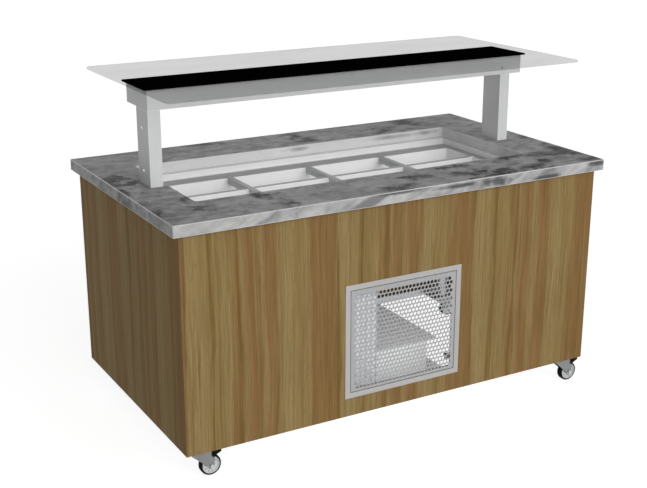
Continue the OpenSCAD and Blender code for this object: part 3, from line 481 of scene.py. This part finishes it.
STEEL = (220, 221, 221)
STEELS = {
    "stainless": dict(colour=STEEL, along="X"),
    "stainless_upright": dict(colour=STEEL, along="Z"),
    # Painted light: well_steel is a lighter copy of the stainless for the deep well, with stronger
    # painted shade on its faces that look up
    "well_steel": dict(
        colour=(240, 240, 240), along="X", metallic=0.1, rough=0.5, up=0.5, well=True
    ),
    # Painted shade: divider_steel (dividers and electrical box), lid_steel and perforated_steel are
    # darker copies of the stainless
    "divider_steel": dict(colour=(196, 197, 198), along="Y", metallic=0.1, rough=0.5),
    "lid_steel": dict(colour=(186, 186, 187), along="X", metallic=0.1, rough=0.5, up=1.0),
    "perforated_steel": dict(colour=(178, 179, 181), along="Z", metallic=0.1),
    "grille_steel": dict(colour=(190, 188, 186), along="Z", metallic=0.1),
    "casing_steel": dict(colour=(232, 234, 236), along="X", metallic=0.1, rough=0.5),
    "fork_steel": dict(colour=(140, 141, 142), along="Z", metallic=0.4, rough=0.4),
    "zinc": dict(colour=(196, 200, 204), along="Z", metallic=0.85, rough=0.36),
    # Painted highlight: a paler, glossier steel for the posts' rounded edges
    "painted_highlight_edge": dict(colour=(238, 239, 240), along="Z", metallic=0.3, rough=0.3, up=1.0),
    "screw_steel": dict(colour=(235, 236, 238), along="X", metallic=0.5, rough=0.28, up=1.0),
}
COATINGS = {
    "frame_paint": dict(colour=(206, 207, 209), rough=0.32, metallic=0.75),
    "foam": dict(colour=(230, 224, 190), rough=0.8, grain=220, depth=0.0008),
    "motor_paint": dict(colour=(38, 38, 41), rough=0.42),
    "black_plastic": dict(colour=(30, 30, 31), rough=0.5, grain=700, depth=0.00008),
    "rubber": dict(colour=(34, 33, 32), rough=0.8, grain=400, depth=0.0002),
    "black_plate": dict(colour=(3, 3, 4), rough=0.6, grain=500, depth=0.00002, sheen=0.0),
    "tyre": dict(colour=(16, 16, 17), rough=0.8, grain=500, depth=0.0002, sheen=0.1),
    "hub": dict(colour=(208, 210, 209), rough=0.5, grain=300, depth=0.0001, sheen=0.1),
    # Painted highlight: a paler stone for the countertop's rounded edges
    "stone_edge_highlight": dict(colour=(214, 214, 213), grain=300, depth=0.00004, sheen=0.2),
    "dark_metal": dict(colour=(84, 84, 84), grain=600, depth=0.00004, metallic=0.4),
}
MATERIALS = {
    "marble": marble(),
    "laminate": laminate(),
    "fins": finned(),
    "copper": copper(),
    "clear_glass": clear_glass(),
    "lamp_glass": lit("lamp_glass", (246, 246, 240), 1.0),
    "diffuser": lit("diffuser", (238, 238, 234), 0.4),
    **{name: brushed(name, **look) for name, look in STEELS.items()},
    **{name: painted(name, **look) for name, look in COATINGS.items()},
}

# Nodes whose material isn't the one that their slot is named after
FINISH = {
    "left_post": "stainless_upright",
    "right_post": "stainless_upright",
    "grille_frame": "grille_steel",
    "electrical_box": "divider_steel",
    "electrical_lid": "lid_steel",
    "tank_casing": "casing_steel",
    "well_liner": "well_steel",
    "cross_rail": "well_steel",
    "left_divider": "divider_steel",
    "middle_divider": "divider_steel",
    "right_divider": "divider_steel",
}


def dress(obj, material):
    obj.data.materials.clear()
    obj.data.materials.append(MATERIALS[material])


for node, slot in SLOT_OF.items():
    dress(nodes[node], FINISH.get(node, slot))


# ------------------------------------------------------------------ mesh tools

# Edges sharper than this many degrees stay sharp in the shading and get rounded
SHARP = 38
# Points nearer than this are one, and faces within this many degrees are one face
MERGE_DISTANCE = 1e-6
FLAT = 0.5
# Turns of a Z axis onto each axis
TURN = {
    "X": Matrix(((0, 0, 1), (1, 0, 0), (0, 1, 0))),
    "Y": Matrix(((0, 1, 0), (0, 0, 1), (1, 0, 0))),
    "Z": Matrix.Identity(3),
}


def from_bmesh(name, bm, material, node, sharp=SHARP):
    """A piece that rides the node's body, takes its slot and stands for it."""
    mesh = bpy.data.meshes.new(name)
    bmesh.ops.recalc_face_normals(bm, faces=bm.faces)
    bm.to_mesh(mesh)
    bm.free()
    mesh.shade_smooth()
    mesh.set_sharp_from_angle(angle=math.radians(sharp))
    obj = bpy.data.objects.new(name, mesh)
    bpy.context.collection.objects.link(obj)
    dress(obj, material)
    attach(obj, BODY_OF[node])
    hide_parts(node)
    return obj


def apply_modifiers(obj):
    graph = bpy.context.evaluated_depsgraph_get()
    mesh = bpy.data.meshes.new_from_object(obj.evaluated_get(graph))
    obj.modifiers.clear()
    obj.data = mesh


def round_edges(obj, width, segments=2, edge=None):
    """Rounds the sharp edges by a width in mm, with a material of their own where one is named."""
    if edge:
        obj.data.materials.append(MATERIALS[edge])
    bevel = obj.modifiers.new("rounded", "BEVEL")
    bevel.width = width * MM
    bevel.segments = segments
    bevel.limit_method = "ANGLE"
    bevel.angle_limit = math.radians(SHARP)
    bevel.use_clamp_overlap = False
    bevel.harden_normals = True
    bevel.material = 1 if edge else -1
    apply_modifiers(obj)


def soften(node, width, material=None, segments=2, edge=None):
    """The CAD node's own shape with rounded edges."""
    bm = bmesh.new()
    bm.from_mesh(nodes[node].data)
    bmesh.ops.remove_doubles(bm, verts=bm.verts, dist=MERGE_DISTANCE)
    bmesh.ops.dissolve_limit(bm, angle_limit=math.radians(FLAT), verts=bm.verts, edges=bm.edges)
    material = material or FINISH.get(node, SLOT_OF[node])
    round_edges(from_bmesh(f"{node}_rounded", bm, material, node), width, segments, edge)


def lathe(bm, profile, at, axis, steps=48, closed=False, flutes=0, flute_depth=0.0):
    """Turns (radius, along) points in mm about an axis through a place in metres."""
    turn = TURN[axis]
    rings = []
    for radius, along in profile:
        count = steps if radius > 0 else 1
        ring = []
        for k in range(count):
            a = 2 * math.pi * k / count
            r = radius - flute_depth * (1 + math.cos(flutes * a)) / 2 if flutes else radius
            point = Vector((r * math.cos(a), r * math.sin(a), along))
            ring.append(bm.verts.new(at + turn @ point * MM))
        rings.append(ring)
    for low, high in zip(rings, rings[1:] + ([rings[0]] if closed else [])):
        for k in range(steps):
            following = k + 1
            quad = [
                low[k % len(low)], low[following % len(low)],
                high[following % len(high)], high[k % len(high)],
            ]
            bm.faces.new(list(dict.fromkeys(quad)))


def mirrored(half):
    """Half a lathe profile and its mirror image across the middle plane, as one loop."""
    return half + [(r, -along) for r, along in reversed(half)]


def block(bm, low, high, turn=None, about=None):
    """Box between two corners in metres, turned about a place."""
    corners = [
        Vector((x, y, z))
        for x in (low[0], high[0])
        for y in (low[1], high[1])
        for z in (low[2], high[2])
    ]
    if turn:
        corners = [about + turn @ (corner - about) for corner in corners]
    v = [bm.verts.new(corner) for corner in corners]
    faces = ((0, 1, 3, 2), (4, 6, 7, 5), (0, 4, 5, 1), (2, 3, 7, 6), (0, 2, 6, 4), (1, 5, 7, 3))
    for face in faces:
        bm.faces.new([v[k] for k in face])


def sweep(bm, points, radius, sides=12):
    """Round tube of a radius in mm along points in metres, with closed ends."""
    rings = []
    turns = [2 * math.pi * i / sides for i in range(sides)]
    across = (points[1] - points[0]).orthogonal().normalized()
    for k, point in enumerate(points):
        along = (points[min(k + 1, len(points) - 1)] - points[max(k - 1, 0)]).normalized()
        across = (across - along * across.dot(along)).normalized()
        other = along.cross(across)
        ring = [(across * math.cos(a) + other * math.sin(a)) * radius * MM for a in turns]
        rings.append([bm.verts.new(point + offset) for offset in ring])
    for low, high in zip(rings, rings[1:]):
        for i in range(sides):
            after = (i + 1) % sides
            bm.faces.new([low[i], low[after], high[after], high[i]])
    bm.faces.new(rings[0])
    bm.faces.new(rings[-1])


def vectors(box):
    """The two corners of a box as vectors."""
    return (Vector(corner) for corner in box)


def middle(node):
    low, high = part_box(node)
    return (Vector(low) + Vector(high)) / 2


# ------------------------------------------------------------------ cabinet, counter and gantry

def add_post_screws():
    """Domed socket screws on the outer faces of both posts."""
    low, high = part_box("post_screws")
    head_radius, head_height = 6, 3.5
    dome = [
        (head_radius, 0), (5.9, 0.8), (5.2, 1.9), (4.0, 2.9), (3.0, head_height),
        (2.6, 3.3), (2.5, 1.2), (0, 1.2),
    ]
    seat = Vector((0.2, 2, 2)) * MM
    bm = bmesh.new()
    for x, side in ((low[0] + head_height * MM, -1), (high[0] - head_height * MM, 1)):
        for z in (low[2] + head_radius * MM, high[2] - head_radius * MM):
            at = Vector((x, (low[1] + high[1]) / 2, z))
            lathe(bm, [(r, side * h) for r, h in dome], at, "X", 36)
            block(bm, at - seat, at + seat)
    from_bmesh("post_screw_heads", bm, "screw_steel", "post_screws")


def add_canopy_plug():
    """Small plug near the right end of the light housing's front."""
    low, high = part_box("canopy")
    from_end, from_foot = 88, 25
    at = Vector((high[0] - from_end * MM, low[1], low[2] + from_foot * MM))
    bm = bmesh.new()
    lathe(bm, [(0, -1.2), (2.4, -1.0), (3.4, -0.2), (3.4, 0.6)], at, "Y", 24)
    from_bmesh("canopy_plug", bm, "dark_metal", "canopy")


for name in ("front_panel", "back_panel", "left_panel", "right_panel"):
    soften(name, 1.0)
# The countertop's rounded edges take a paler stone as a painted highlight
soften("countertop", 2.5, segments=3, edge="stone_edge_highlight")
soften("well_liner", 0.9)
for name in ("cross_rail", "left_divider", "middle_divider", "right_divider"):
    soften(name, 0.7)
for name in ("tank_casing", "unit_tray", "electrical_box", "electrical_lid", "fan_shroud"):
    soften(name, 0.7)
soften("chassis_frame", 1.5)
# The posts' rounded edges take a paler steel as a painted highlight
for name in ("left_post", "right_post"):
    soften(name, 1.6, segments=3, edge="painted_highlight_edge")
soften("canopy", 0.9)
soften("canopy_top_plate", 1.0)
soften("glass_shelf", 1.2, segments=3)
soften("grille_frame", 0.7)
add_post_screws()
add_canopy_plug()


# ------------------------------------------------------------------ cooling

# Finned coils, in mm: the core and the fins stand back from the node's sides
PIPE_REACH = 18
CORE_INSET = 3
CORE_INSET_UP = 4
FIN_PITCH = 3.0
FIN_THICKNESS = 0.8
FIN_INSET = 0.5
FIN_INSET_UP = 1
END_PLATE = 2
BEND_RADIUS = 14
BEND_TUBE = 4
LYING_FOOT = 16
CONDENSER_TUBE_PITCH = 56


def add_finned_coil(node, turns, upright):
    """Fins on a core between two end plates, with copper return bends past the -X end.

    The bends lie at the (y, z) of turns. A lying coil's fins stand clear of its feet.
    """
    low, high = vectors(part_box(node))
    low.x += PIPE_REACH * MM
    foot = 0 if upright else LYING_FOOT
    bm = bmesh.new()
    from_low = Vector((CORE_INSET, CORE_INSET, foot + CORE_INSET_UP)) * MM
    from_high = Vector((CORE_INSET, CORE_INSET, CORE_INSET_UP)) * MM
    block(bm, low + from_low, high - from_high)
    count = int((high.x - low.x) / (FIN_PITCH * MM)) - 1
    for k in range(count):
        x = low.x + (k + 1) * FIN_PITCH * MM
        near = (x, low.y + FIN_INSET * MM, low.z + (foot + FIN_INSET_UP) * MM)
        far = (x + FIN_THICKNESS * MM, high.y - FIN_INSET * MM, high.z - FIN_INSET_UP * MM)
        block(bm, near, far)
    from_bmesh(f"{node}_fins", bm, "fins", node)
    bm = bmesh.new()
    for x in (low.x, high.x - END_PLATE * MM):
        block(bm, (x, low.y, low.z), (x + END_PLATE * MM, high.y, high.z))
    round_edges(from_bmesh(f"{node}_end_plates", bm, "zinc", node), 0.6)
    bm = bmesh.new()
    for y, z in turns:
        path = []
        for degrees in range(-90, 91, 15):
            a = math.radians(degrees)
            across, up = (0, math.sin(a)) if upright else (math.sin(a), 0)
            step = Vector((-math.cos(a), across, up))
            path.append(Vector((low.x, y, z)) + BEND_RADIUS * MM * step)
        sweep(bm, path, BEND_TUBE)
    from_bmesh(f"{node}_bends", bm, "copper", node)


def add_coils():
    low, high = vectors(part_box("condenser_coil"))
    y = (low.y + high.y) / 2
    turns = [(y, low.z + CONDENSER_TUBE_PITCH * MM * k) for k in (1, 2, 3, 5, 6)]
    add_finned_coil("condenser_coil", turns, upright=True)
    low, high = vectors(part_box("evaporator_coil"))
    depth = high.y - low.y
    z = (low.z + LYING_FOOT * MM + high.z) / 2
    turns = [(low.y + depth * k / 3, z) for k in (1, 2)]
    add_finned_coil("evaporator_coil", turns, upright=False)


# Fan blades: the width is the angle in radians that a blade covers, and the taper, the sweep, the
# flattening and the corner cut grow from 0 at the hub to that share at the tip
BLADES = 5
BLADE_POINTS = 9
BLADE_THICKNESS = 1.4
BLADE_WIDTH = 1.05
BLADE_TAPER = 0.25
BLADE_SWEEP = 0.35
BLADE_TWIST = math.radians(34)
BLADE_RISE = 1.2
BLADE_FLATTENING = 0.35
BLADE_CORNER_CUT = 0.10


def add_rotor(node, name, axis, radius, hub, depth, bore):
    """Fan with swept, twisted blades on a domed hub, sizes in mm."""
    at = middle(node)
    turn = TURN[axis]
    half = depth / 2
    profile = [
        (bore, -half), (hub - 2, -half), (hub, -half + 2), (hub, half - 3), (hub - 3, half),
        (bore, half),
    ]
    bm = bmesh.new()
    lathe(bm, profile, at, axis, 36, closed=True)
    from_bmesh(f"{name}_hub", bm, "black_plastic", node)
    bm = bmesh.new()
    for k in range(BLADES):
        grid = []
        for i in range(BLADE_POINTS):
            u = i / (BLADE_POINTS - 1)
            r = hub - 1 + u * (radius - hub)
            width = BLADE_WIDTH - BLADE_TAPER * u
            line = []
            for j in range(BLADE_POINTS):
                v = j / (BLADE_POINTS - 1) - 0.5
                angle = 2 * math.pi * k / BLADES + v * width + BLADE_SWEEP * u * u
                pitch = math.sin(BLADE_TWIST * 2 * v)
                rise = (half - 1) * pitch * BLADE_RISE * (1 - BLADE_FLATTENING * u)
                trim = 1 - BLADE_CORNER_CUT * abs(2 * v) ** 3 * u
                place = Vector((r * trim * math.cos(angle), r * trim * math.sin(angle), rise))
                line.append(bm.verts.new(at + turn @ place * MM))
            grid.append(line)
        for low, high in zip(grid, grid[1:]):
            for j in range(BLADE_POINTS - 1):
                bm.faces.new([low[j], low[j + 1], high[j + 1], high[j]])
    fan = from_bmesh(f"{name}_blades", bm, "black_plastic", node)
    thick = fan.modifiers.new("sheet", "SOLIDIFY")
    thick.thickness = BLADE_THICKNESS * MM
    thick.offset = 0
    apply_modifiers(fan)


def add_compressor():
    """Shell with its weld seam, on rubber feet."""
    soften("compressor", 1.5, segments=3)
    low, high = vectors(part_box("compressor_feet"))
    centre = (low + high) / 2
    seam_height = 92
    at = Vector((centre.x, centre.y, high.z + seam_height * MM))
    seam = [(71.5, -4), (74, -3.4), (74.6, -2), (74.6, 2), (74, 3.4), (71.5, 4)]
    bm = bmesh.new()
    lathe(bm, seam, at, "Z", 96, closed=True)
    from_bmesh("compressor_seam", bm, "motor_paint", "compressor")
    soften("compressor_feet", 1.5)


add_coils()
add_rotor("fan_blade", "condenser_fan", "Y", radius=91.5, hub=20, depth=20, bore=4.06)
add_rotor("evaporator_fan", "evaporator_fan", "X", radius=49.5, hub=14, depth=16, bore=3.06)
add_compressor()
for name in ("fan_motor", "evaporator_motor"):
    soften(name, 1.2)
soften("drain_outlet", 0.8)
soften("drain_valve", 0.8, "hub")
for name in ("drain_lever", "lamp_tube", "lamp_diffuser"):
    soften(name, 0.8)


# ------------------------------------------------------------------ controls

# Thermostat's dots and knob, and how far the rockers' bezels stand proud of the plate's face:
# angles in degrees, the rest in mm
DIAL_MARKS = 9
DIAL_START = 225
DIAL_TRAVEL = 270
DIAL_RADIUS = 24
KNOB_RADIUS = 18
BEZEL_OUT = 1.5


def add_knob():
    """Fluted knob with a pointer, and a ring of raised dots around it on the plate."""
    low, high = vectors(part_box("thermostat_knob"))
    x, z = (low.x + high.x) / 2, low.z + KNOB_RADIUS * MM
    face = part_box("control_plate")[1][1] - BEZEL_OUT * MM
    at = Vector((x, face + 0.5 * MM, z))
    skirt = [(0, 0), (KNOB_RADIUS, 0), (KNOB_RADIUS, 3), (17, 4.4), (15, 4.8), (0, 4.8)]
    grip = [(14, 4.6), (13.8, 15.5), (12.6, 16.5), (0, 16.5)]
    pointer = Vector((-1.2, 4.6, 2)), Vector((1.2, 17.4, 15.8))
    bm = bmesh.new()
    lathe(bm, skirt, at, "Y", 72)
    lathe(bm, grip, at, "Y", 144, flutes=18, flute_depth=1.1)
    block(bm, at + pointer[0] * MM, at + pointer[1] * MM)
    from_bmesh("thermostat_grip", bm, "black_plastic", "thermostat_knob", sharp=50)
    dot = [(1.3, -0.5), (1.3, 0.2), (0.9, 0.5), (0, 0.6)]
    bm = bmesh.new()
    for k in range(DIAL_MARKS):
        a = math.radians(DIAL_START - DIAL_TRAVEL * k / (DIAL_MARKS - 1))
        radius = DIAL_RADIUS * MM
        lathe(bm, dot, Vector((x + radius * math.cos(a), face, z + radius * math.sin(a))), "Y", 20)
    from_bmesh("thermostat_marks", bm, "dark_metal", "control_plate")


soften("control_plate", 0.5)
for name in ("power_switch", "light_switch", "power_gland"):
    soften(name, 0.6)
soften("grille_lock", 0.3, "dark_metal")
add_knob()


# ------------------------------------------------------------------ casters

# Half of each profile: (radius, distance from the wheel's middle plane) in mm
TYRE = [(30.6, 11.4), (33.0, 11.9), (35.8, 11.2), (37.2, 8.4), (37.5, 3.5)]
HUB = [
    (4.06, 14.0), (9.8, 14.0), (10.8, 13.2), (12.2, 8.0), (26.4, 6.6), (28.0, 11.2), (30.6, 11.2),
]
# Ribs on both faces of the hub: their radii, distance from the middle plane and half sizes in mm
HUB_RIBS = 10
RIB_IN = 11.5
RIB_OUT = 27.8
RIB_OFFSET = 8.6
RIB_HALF_DEPTH = 2.2
RIB_HALF_WIDTH = 0.9


def add_wheel(corner):
    """Rubber tyre on a pale ribbed hub with a bearing boss."""
    node = f"{corner}_wheel"
    at = middle(node)
    bm = bmesh.new()
    lathe(bm, mirrored(TYRE), at, "Y", 72, closed=True)
    from_bmesh(f"{corner}_tyre", bm, "tyre", node)
    bm = bmesh.new()
    lathe(bm, mirrored(HUB), at, "Y", 72, closed=True)
    for k in range(HUB_RIBS):
        for side in (-1, 1):
            y = side * RIB_OFFSET
            low = at + Vector((RIB_IN, y - RIB_HALF_DEPTH, -RIB_HALF_WIDTH)) * MM
            high = at + Vector((RIB_OUT, y + RIB_HALF_DEPTH, RIB_HALF_WIDTH)) * MM
            block(bm, low, high, Matrix.Rotation(2 * math.pi * k / HUB_RIBS, 3, "Y"), at)
    from_bmesh(f"{corner}_hub", bm, "hub", node)


for corner in CORNERS:
    add_wheel(corner)
    soften(f"{corner}_fork", 0.6, "fork_steel")
    soften(f"{corner}_axle", 0.5)
for corner in CORNERS[:2]:
    soften(f"{corner}_brake", 0.5, "tyre")
soften("caster_plates", 0.6)


# ------------------------------------------------------------------ studio

WHITE = (1, 1, 1, 1)

# Strength of the surroundings' light low down and overhead, and what is added in front, where
# the direction's Y falls from the first value to the second
HORIZON = 0.23
ZENITH = 0.18
FRONT_GLOW = 0.75
FRONT = (-0.2, -1.0)

# The floor: half size, the colours that light it and that the camera sees, and its own white
FLOOR_SIZE = 60
FLOOR_COLOUR = (0.8, 0.8, 0.8, 1)
SEEN_FLOOR_COLOUR = (0.45, 0.45, 0.45, 1)
SEEN_FLOOR_GLOW = 0.83


def add_node(tree, kind, **values):
    """Adds a node and sets its inputs, with _ for a space in their names."""
    node = tree.nodes.new(kind)
    for name, value in values.items():
        node.inputs[name.replace("_", " ")].default_value = value
    return node


def shader_mix(tree, factor, first, second):
    node = tree.nodes.new("ShaderNodeMixShader")
    tree.links.new(factor, node.inputs[0])
    tree.links.new(first, node.inputs[1])
    tree.links.new(second, node.inputs[2])
    return node.outputs[0]


def seen_directly(tree):
    """1 for rays from the camera, off metal or through glass, which see white surroundings."""
    path = tree.nodes.new("ShaderNodeLightPath")
    total = path.outputs["Is Camera Ray"]
    for ray in ("Is Glossy Ray", "Is Transmission Ray"):
        either = tree.nodes.new("ShaderNodeMath")
        either.operation = "MAXIMUM"
        tree.links.new(total, either.inputs[0])
        tree.links.new(path.outputs[ray], either.inputs[1])
        total = either.outputs[0]
    return total


def add_surroundings():
    """Even soft light, stronger from the front, and white for the rays that see it directly."""
    world = bpy.data.worlds.new("studio")
    bpy.context.scene.world = world
    world.use_nodes = True
    tree = world.node_tree
    tree.nodes.clear()
    seen = add_node(tree, "ShaderNodeBackground", Color=WHITE)
    given = add_node(tree, "ShaderNodeBackground", Color=WHITE)
    height = add_node(tree, "ShaderNodeSeparateXYZ")
    tree.links.new(add_node(tree, "ShaderNodeTexCoord").outputs["Generated"], height.inputs[0])
    fall = add_node(tree, "ShaderNodeMapRange", To_Min=HORIZON, To_Max=ZENITH)
    tree.links.new(height.outputs["Z"], fall.inputs["Value"])
    glow = add_node(
        tree, "ShaderNodeMapRange", From_Min=FRONT[0], From_Max=FRONT[1], To_Max=FRONT_GLOW
    )
    tree.links.new(height.outputs["Y"], glow.inputs["Value"])
    both = add_node(tree, "ShaderNodeMath")
    tree.links.new(fall.outputs["Result"], both.inputs[0])
    tree.links.new(glow.outputs["Result"], both.inputs[1])
    tree.links.new(both.outputs[0], given.inputs["Strength"])
    out = add_node(tree, "ShaderNodeOutputWorld")
    shown = shader_mix(tree, seen_directly(tree), given.outputs[0], seen.outputs[0])
    tree.links.new(shown, out.inputs["Surface"])


def add_floor():
    """Pale floor that takes the object's shadow."""
    size = FLOOR_SIZE
    mesh = bpy.data.meshes.new("floor")
    corners = [(-size, -size, 0), (size, -size, 0), (size, size, 0), (-size, size, 0)]
    mesh.from_pydata(corners, [], [(0, 1, 2, 3)])
    floor = bpy.data.objects.new("floor", mesh)
    bpy.context.collection.objects.link(floor)
    material = bpy.data.materials.new("floor")
    material.use_nodes = True
    tree = material.node_tree
    tree.nodes.clear()
    matt = add_node(tree, "ShaderNodeBsdfDiffuse", Color=FLOOR_COLOUR)
    pale = add_node(tree, "ShaderNodeBsdfDiffuse", Color=SEEN_FLOOR_COLOUR)
    white = add_node(tree, "ShaderNodeEmission", Strength=SEEN_FLOOR_GLOW)
    both = add_node(tree, "ShaderNodeAddShader")
    tree.links.new(pale.outputs[0], both.inputs[0])
    tree.links.new(white.outputs[0], both.inputs[1])
    out = add_node(tree, "ShaderNodeOutputMaterial")
    shown = shader_mix(tree, seen_directly(tree), matt.outputs[0], both.outputs[0])
    tree.links.new(shown, out.inputs["Surface"])
    mesh.materials.append(material)


def add_sun(name, strength, spread, elevation, side):
    """Soft light from that elevation, turned from the front towards +X by side, in degrees."""
    sun = bpy.data.lights.new(name, "SUN")
    sun.energy = strength
    sun.angle = math.radians(spread)
    lamp = bpy.data.objects.new(name, sun)
    lamp.rotation_euler = (math.radians(90 - elevation), 0, math.radians(side))
    bpy.context.collection.objects.link(lamp)


def add_panel_light(name, power, place, size, tilt):
    """Flat light inside the counter, facing down at a tilt of 0 and to the back at 90."""
    area = bpy.data.lights.new(name, "AREA")
    area.energy = power
    area.shape = "RECTANGLE"
    area.size, area.size_y = size
    lamp = bpy.data.objects.new(name, area)
    lamp.location = place
    lamp.rotation_euler = (math.radians(tilt), 0, 0)
    lamp.visible_camera = False
    bpy.context.collection.objects.link(lamp)


# The photograph's width and the focal length in its pixels, and the camera's turns in degrees
PHOTO_WIDTH = 647
FOCAL_PIXELS = 1167.6
SENSOR_WIDTH = 36
CAMERA_PLACE = (-2.101, -3.596, 1.917)
CAMERA_TILT = 72.12
CAMERA_TURN = -29.61


def add_camera():
    """The camera that the photograph's edges give."""
    data = bpy.data.cameras.new("camera")
    data.sensor_width = SENSOR_WIDTH
    data.lens = FOCAL_PIXELS / PHOTO_WIDTH * SENSOR_WIDTH
    camera = bpy.data.objects.new("camera", data)
    camera.location = CAMERA_PLACE
    camera.rotation_euler = (math.radians(CAMERA_TILT), 0, math.radians(CAMERA_TURN))
    bpy.context.collection.objects.link(camera)
    bpy.context.scene.camera = camera


add_surroundings()
add_floor()
add_sun("front_light", 1.42, spread=50, elevation=16, side=12)
add_sun("back_light", 0.8, spread=50, elevation=3, side=165)
add_panel_light("cabinet_front_light", 1.5, (0, -0.43, 0.37), (0.9, 0.5), tilt=90)
add_panel_light("cabinet_roof_light", 0.55, (0, 0, 0.45), (1.0, 0.6), tilt=0)
add_panel_light("well_light", 0.33, (-0.03, -0.15, 0.77), (1.2, 0.12), tilt=90)
add_camera()
bpy.context.scene.view_settings.view_transform = "Standard"
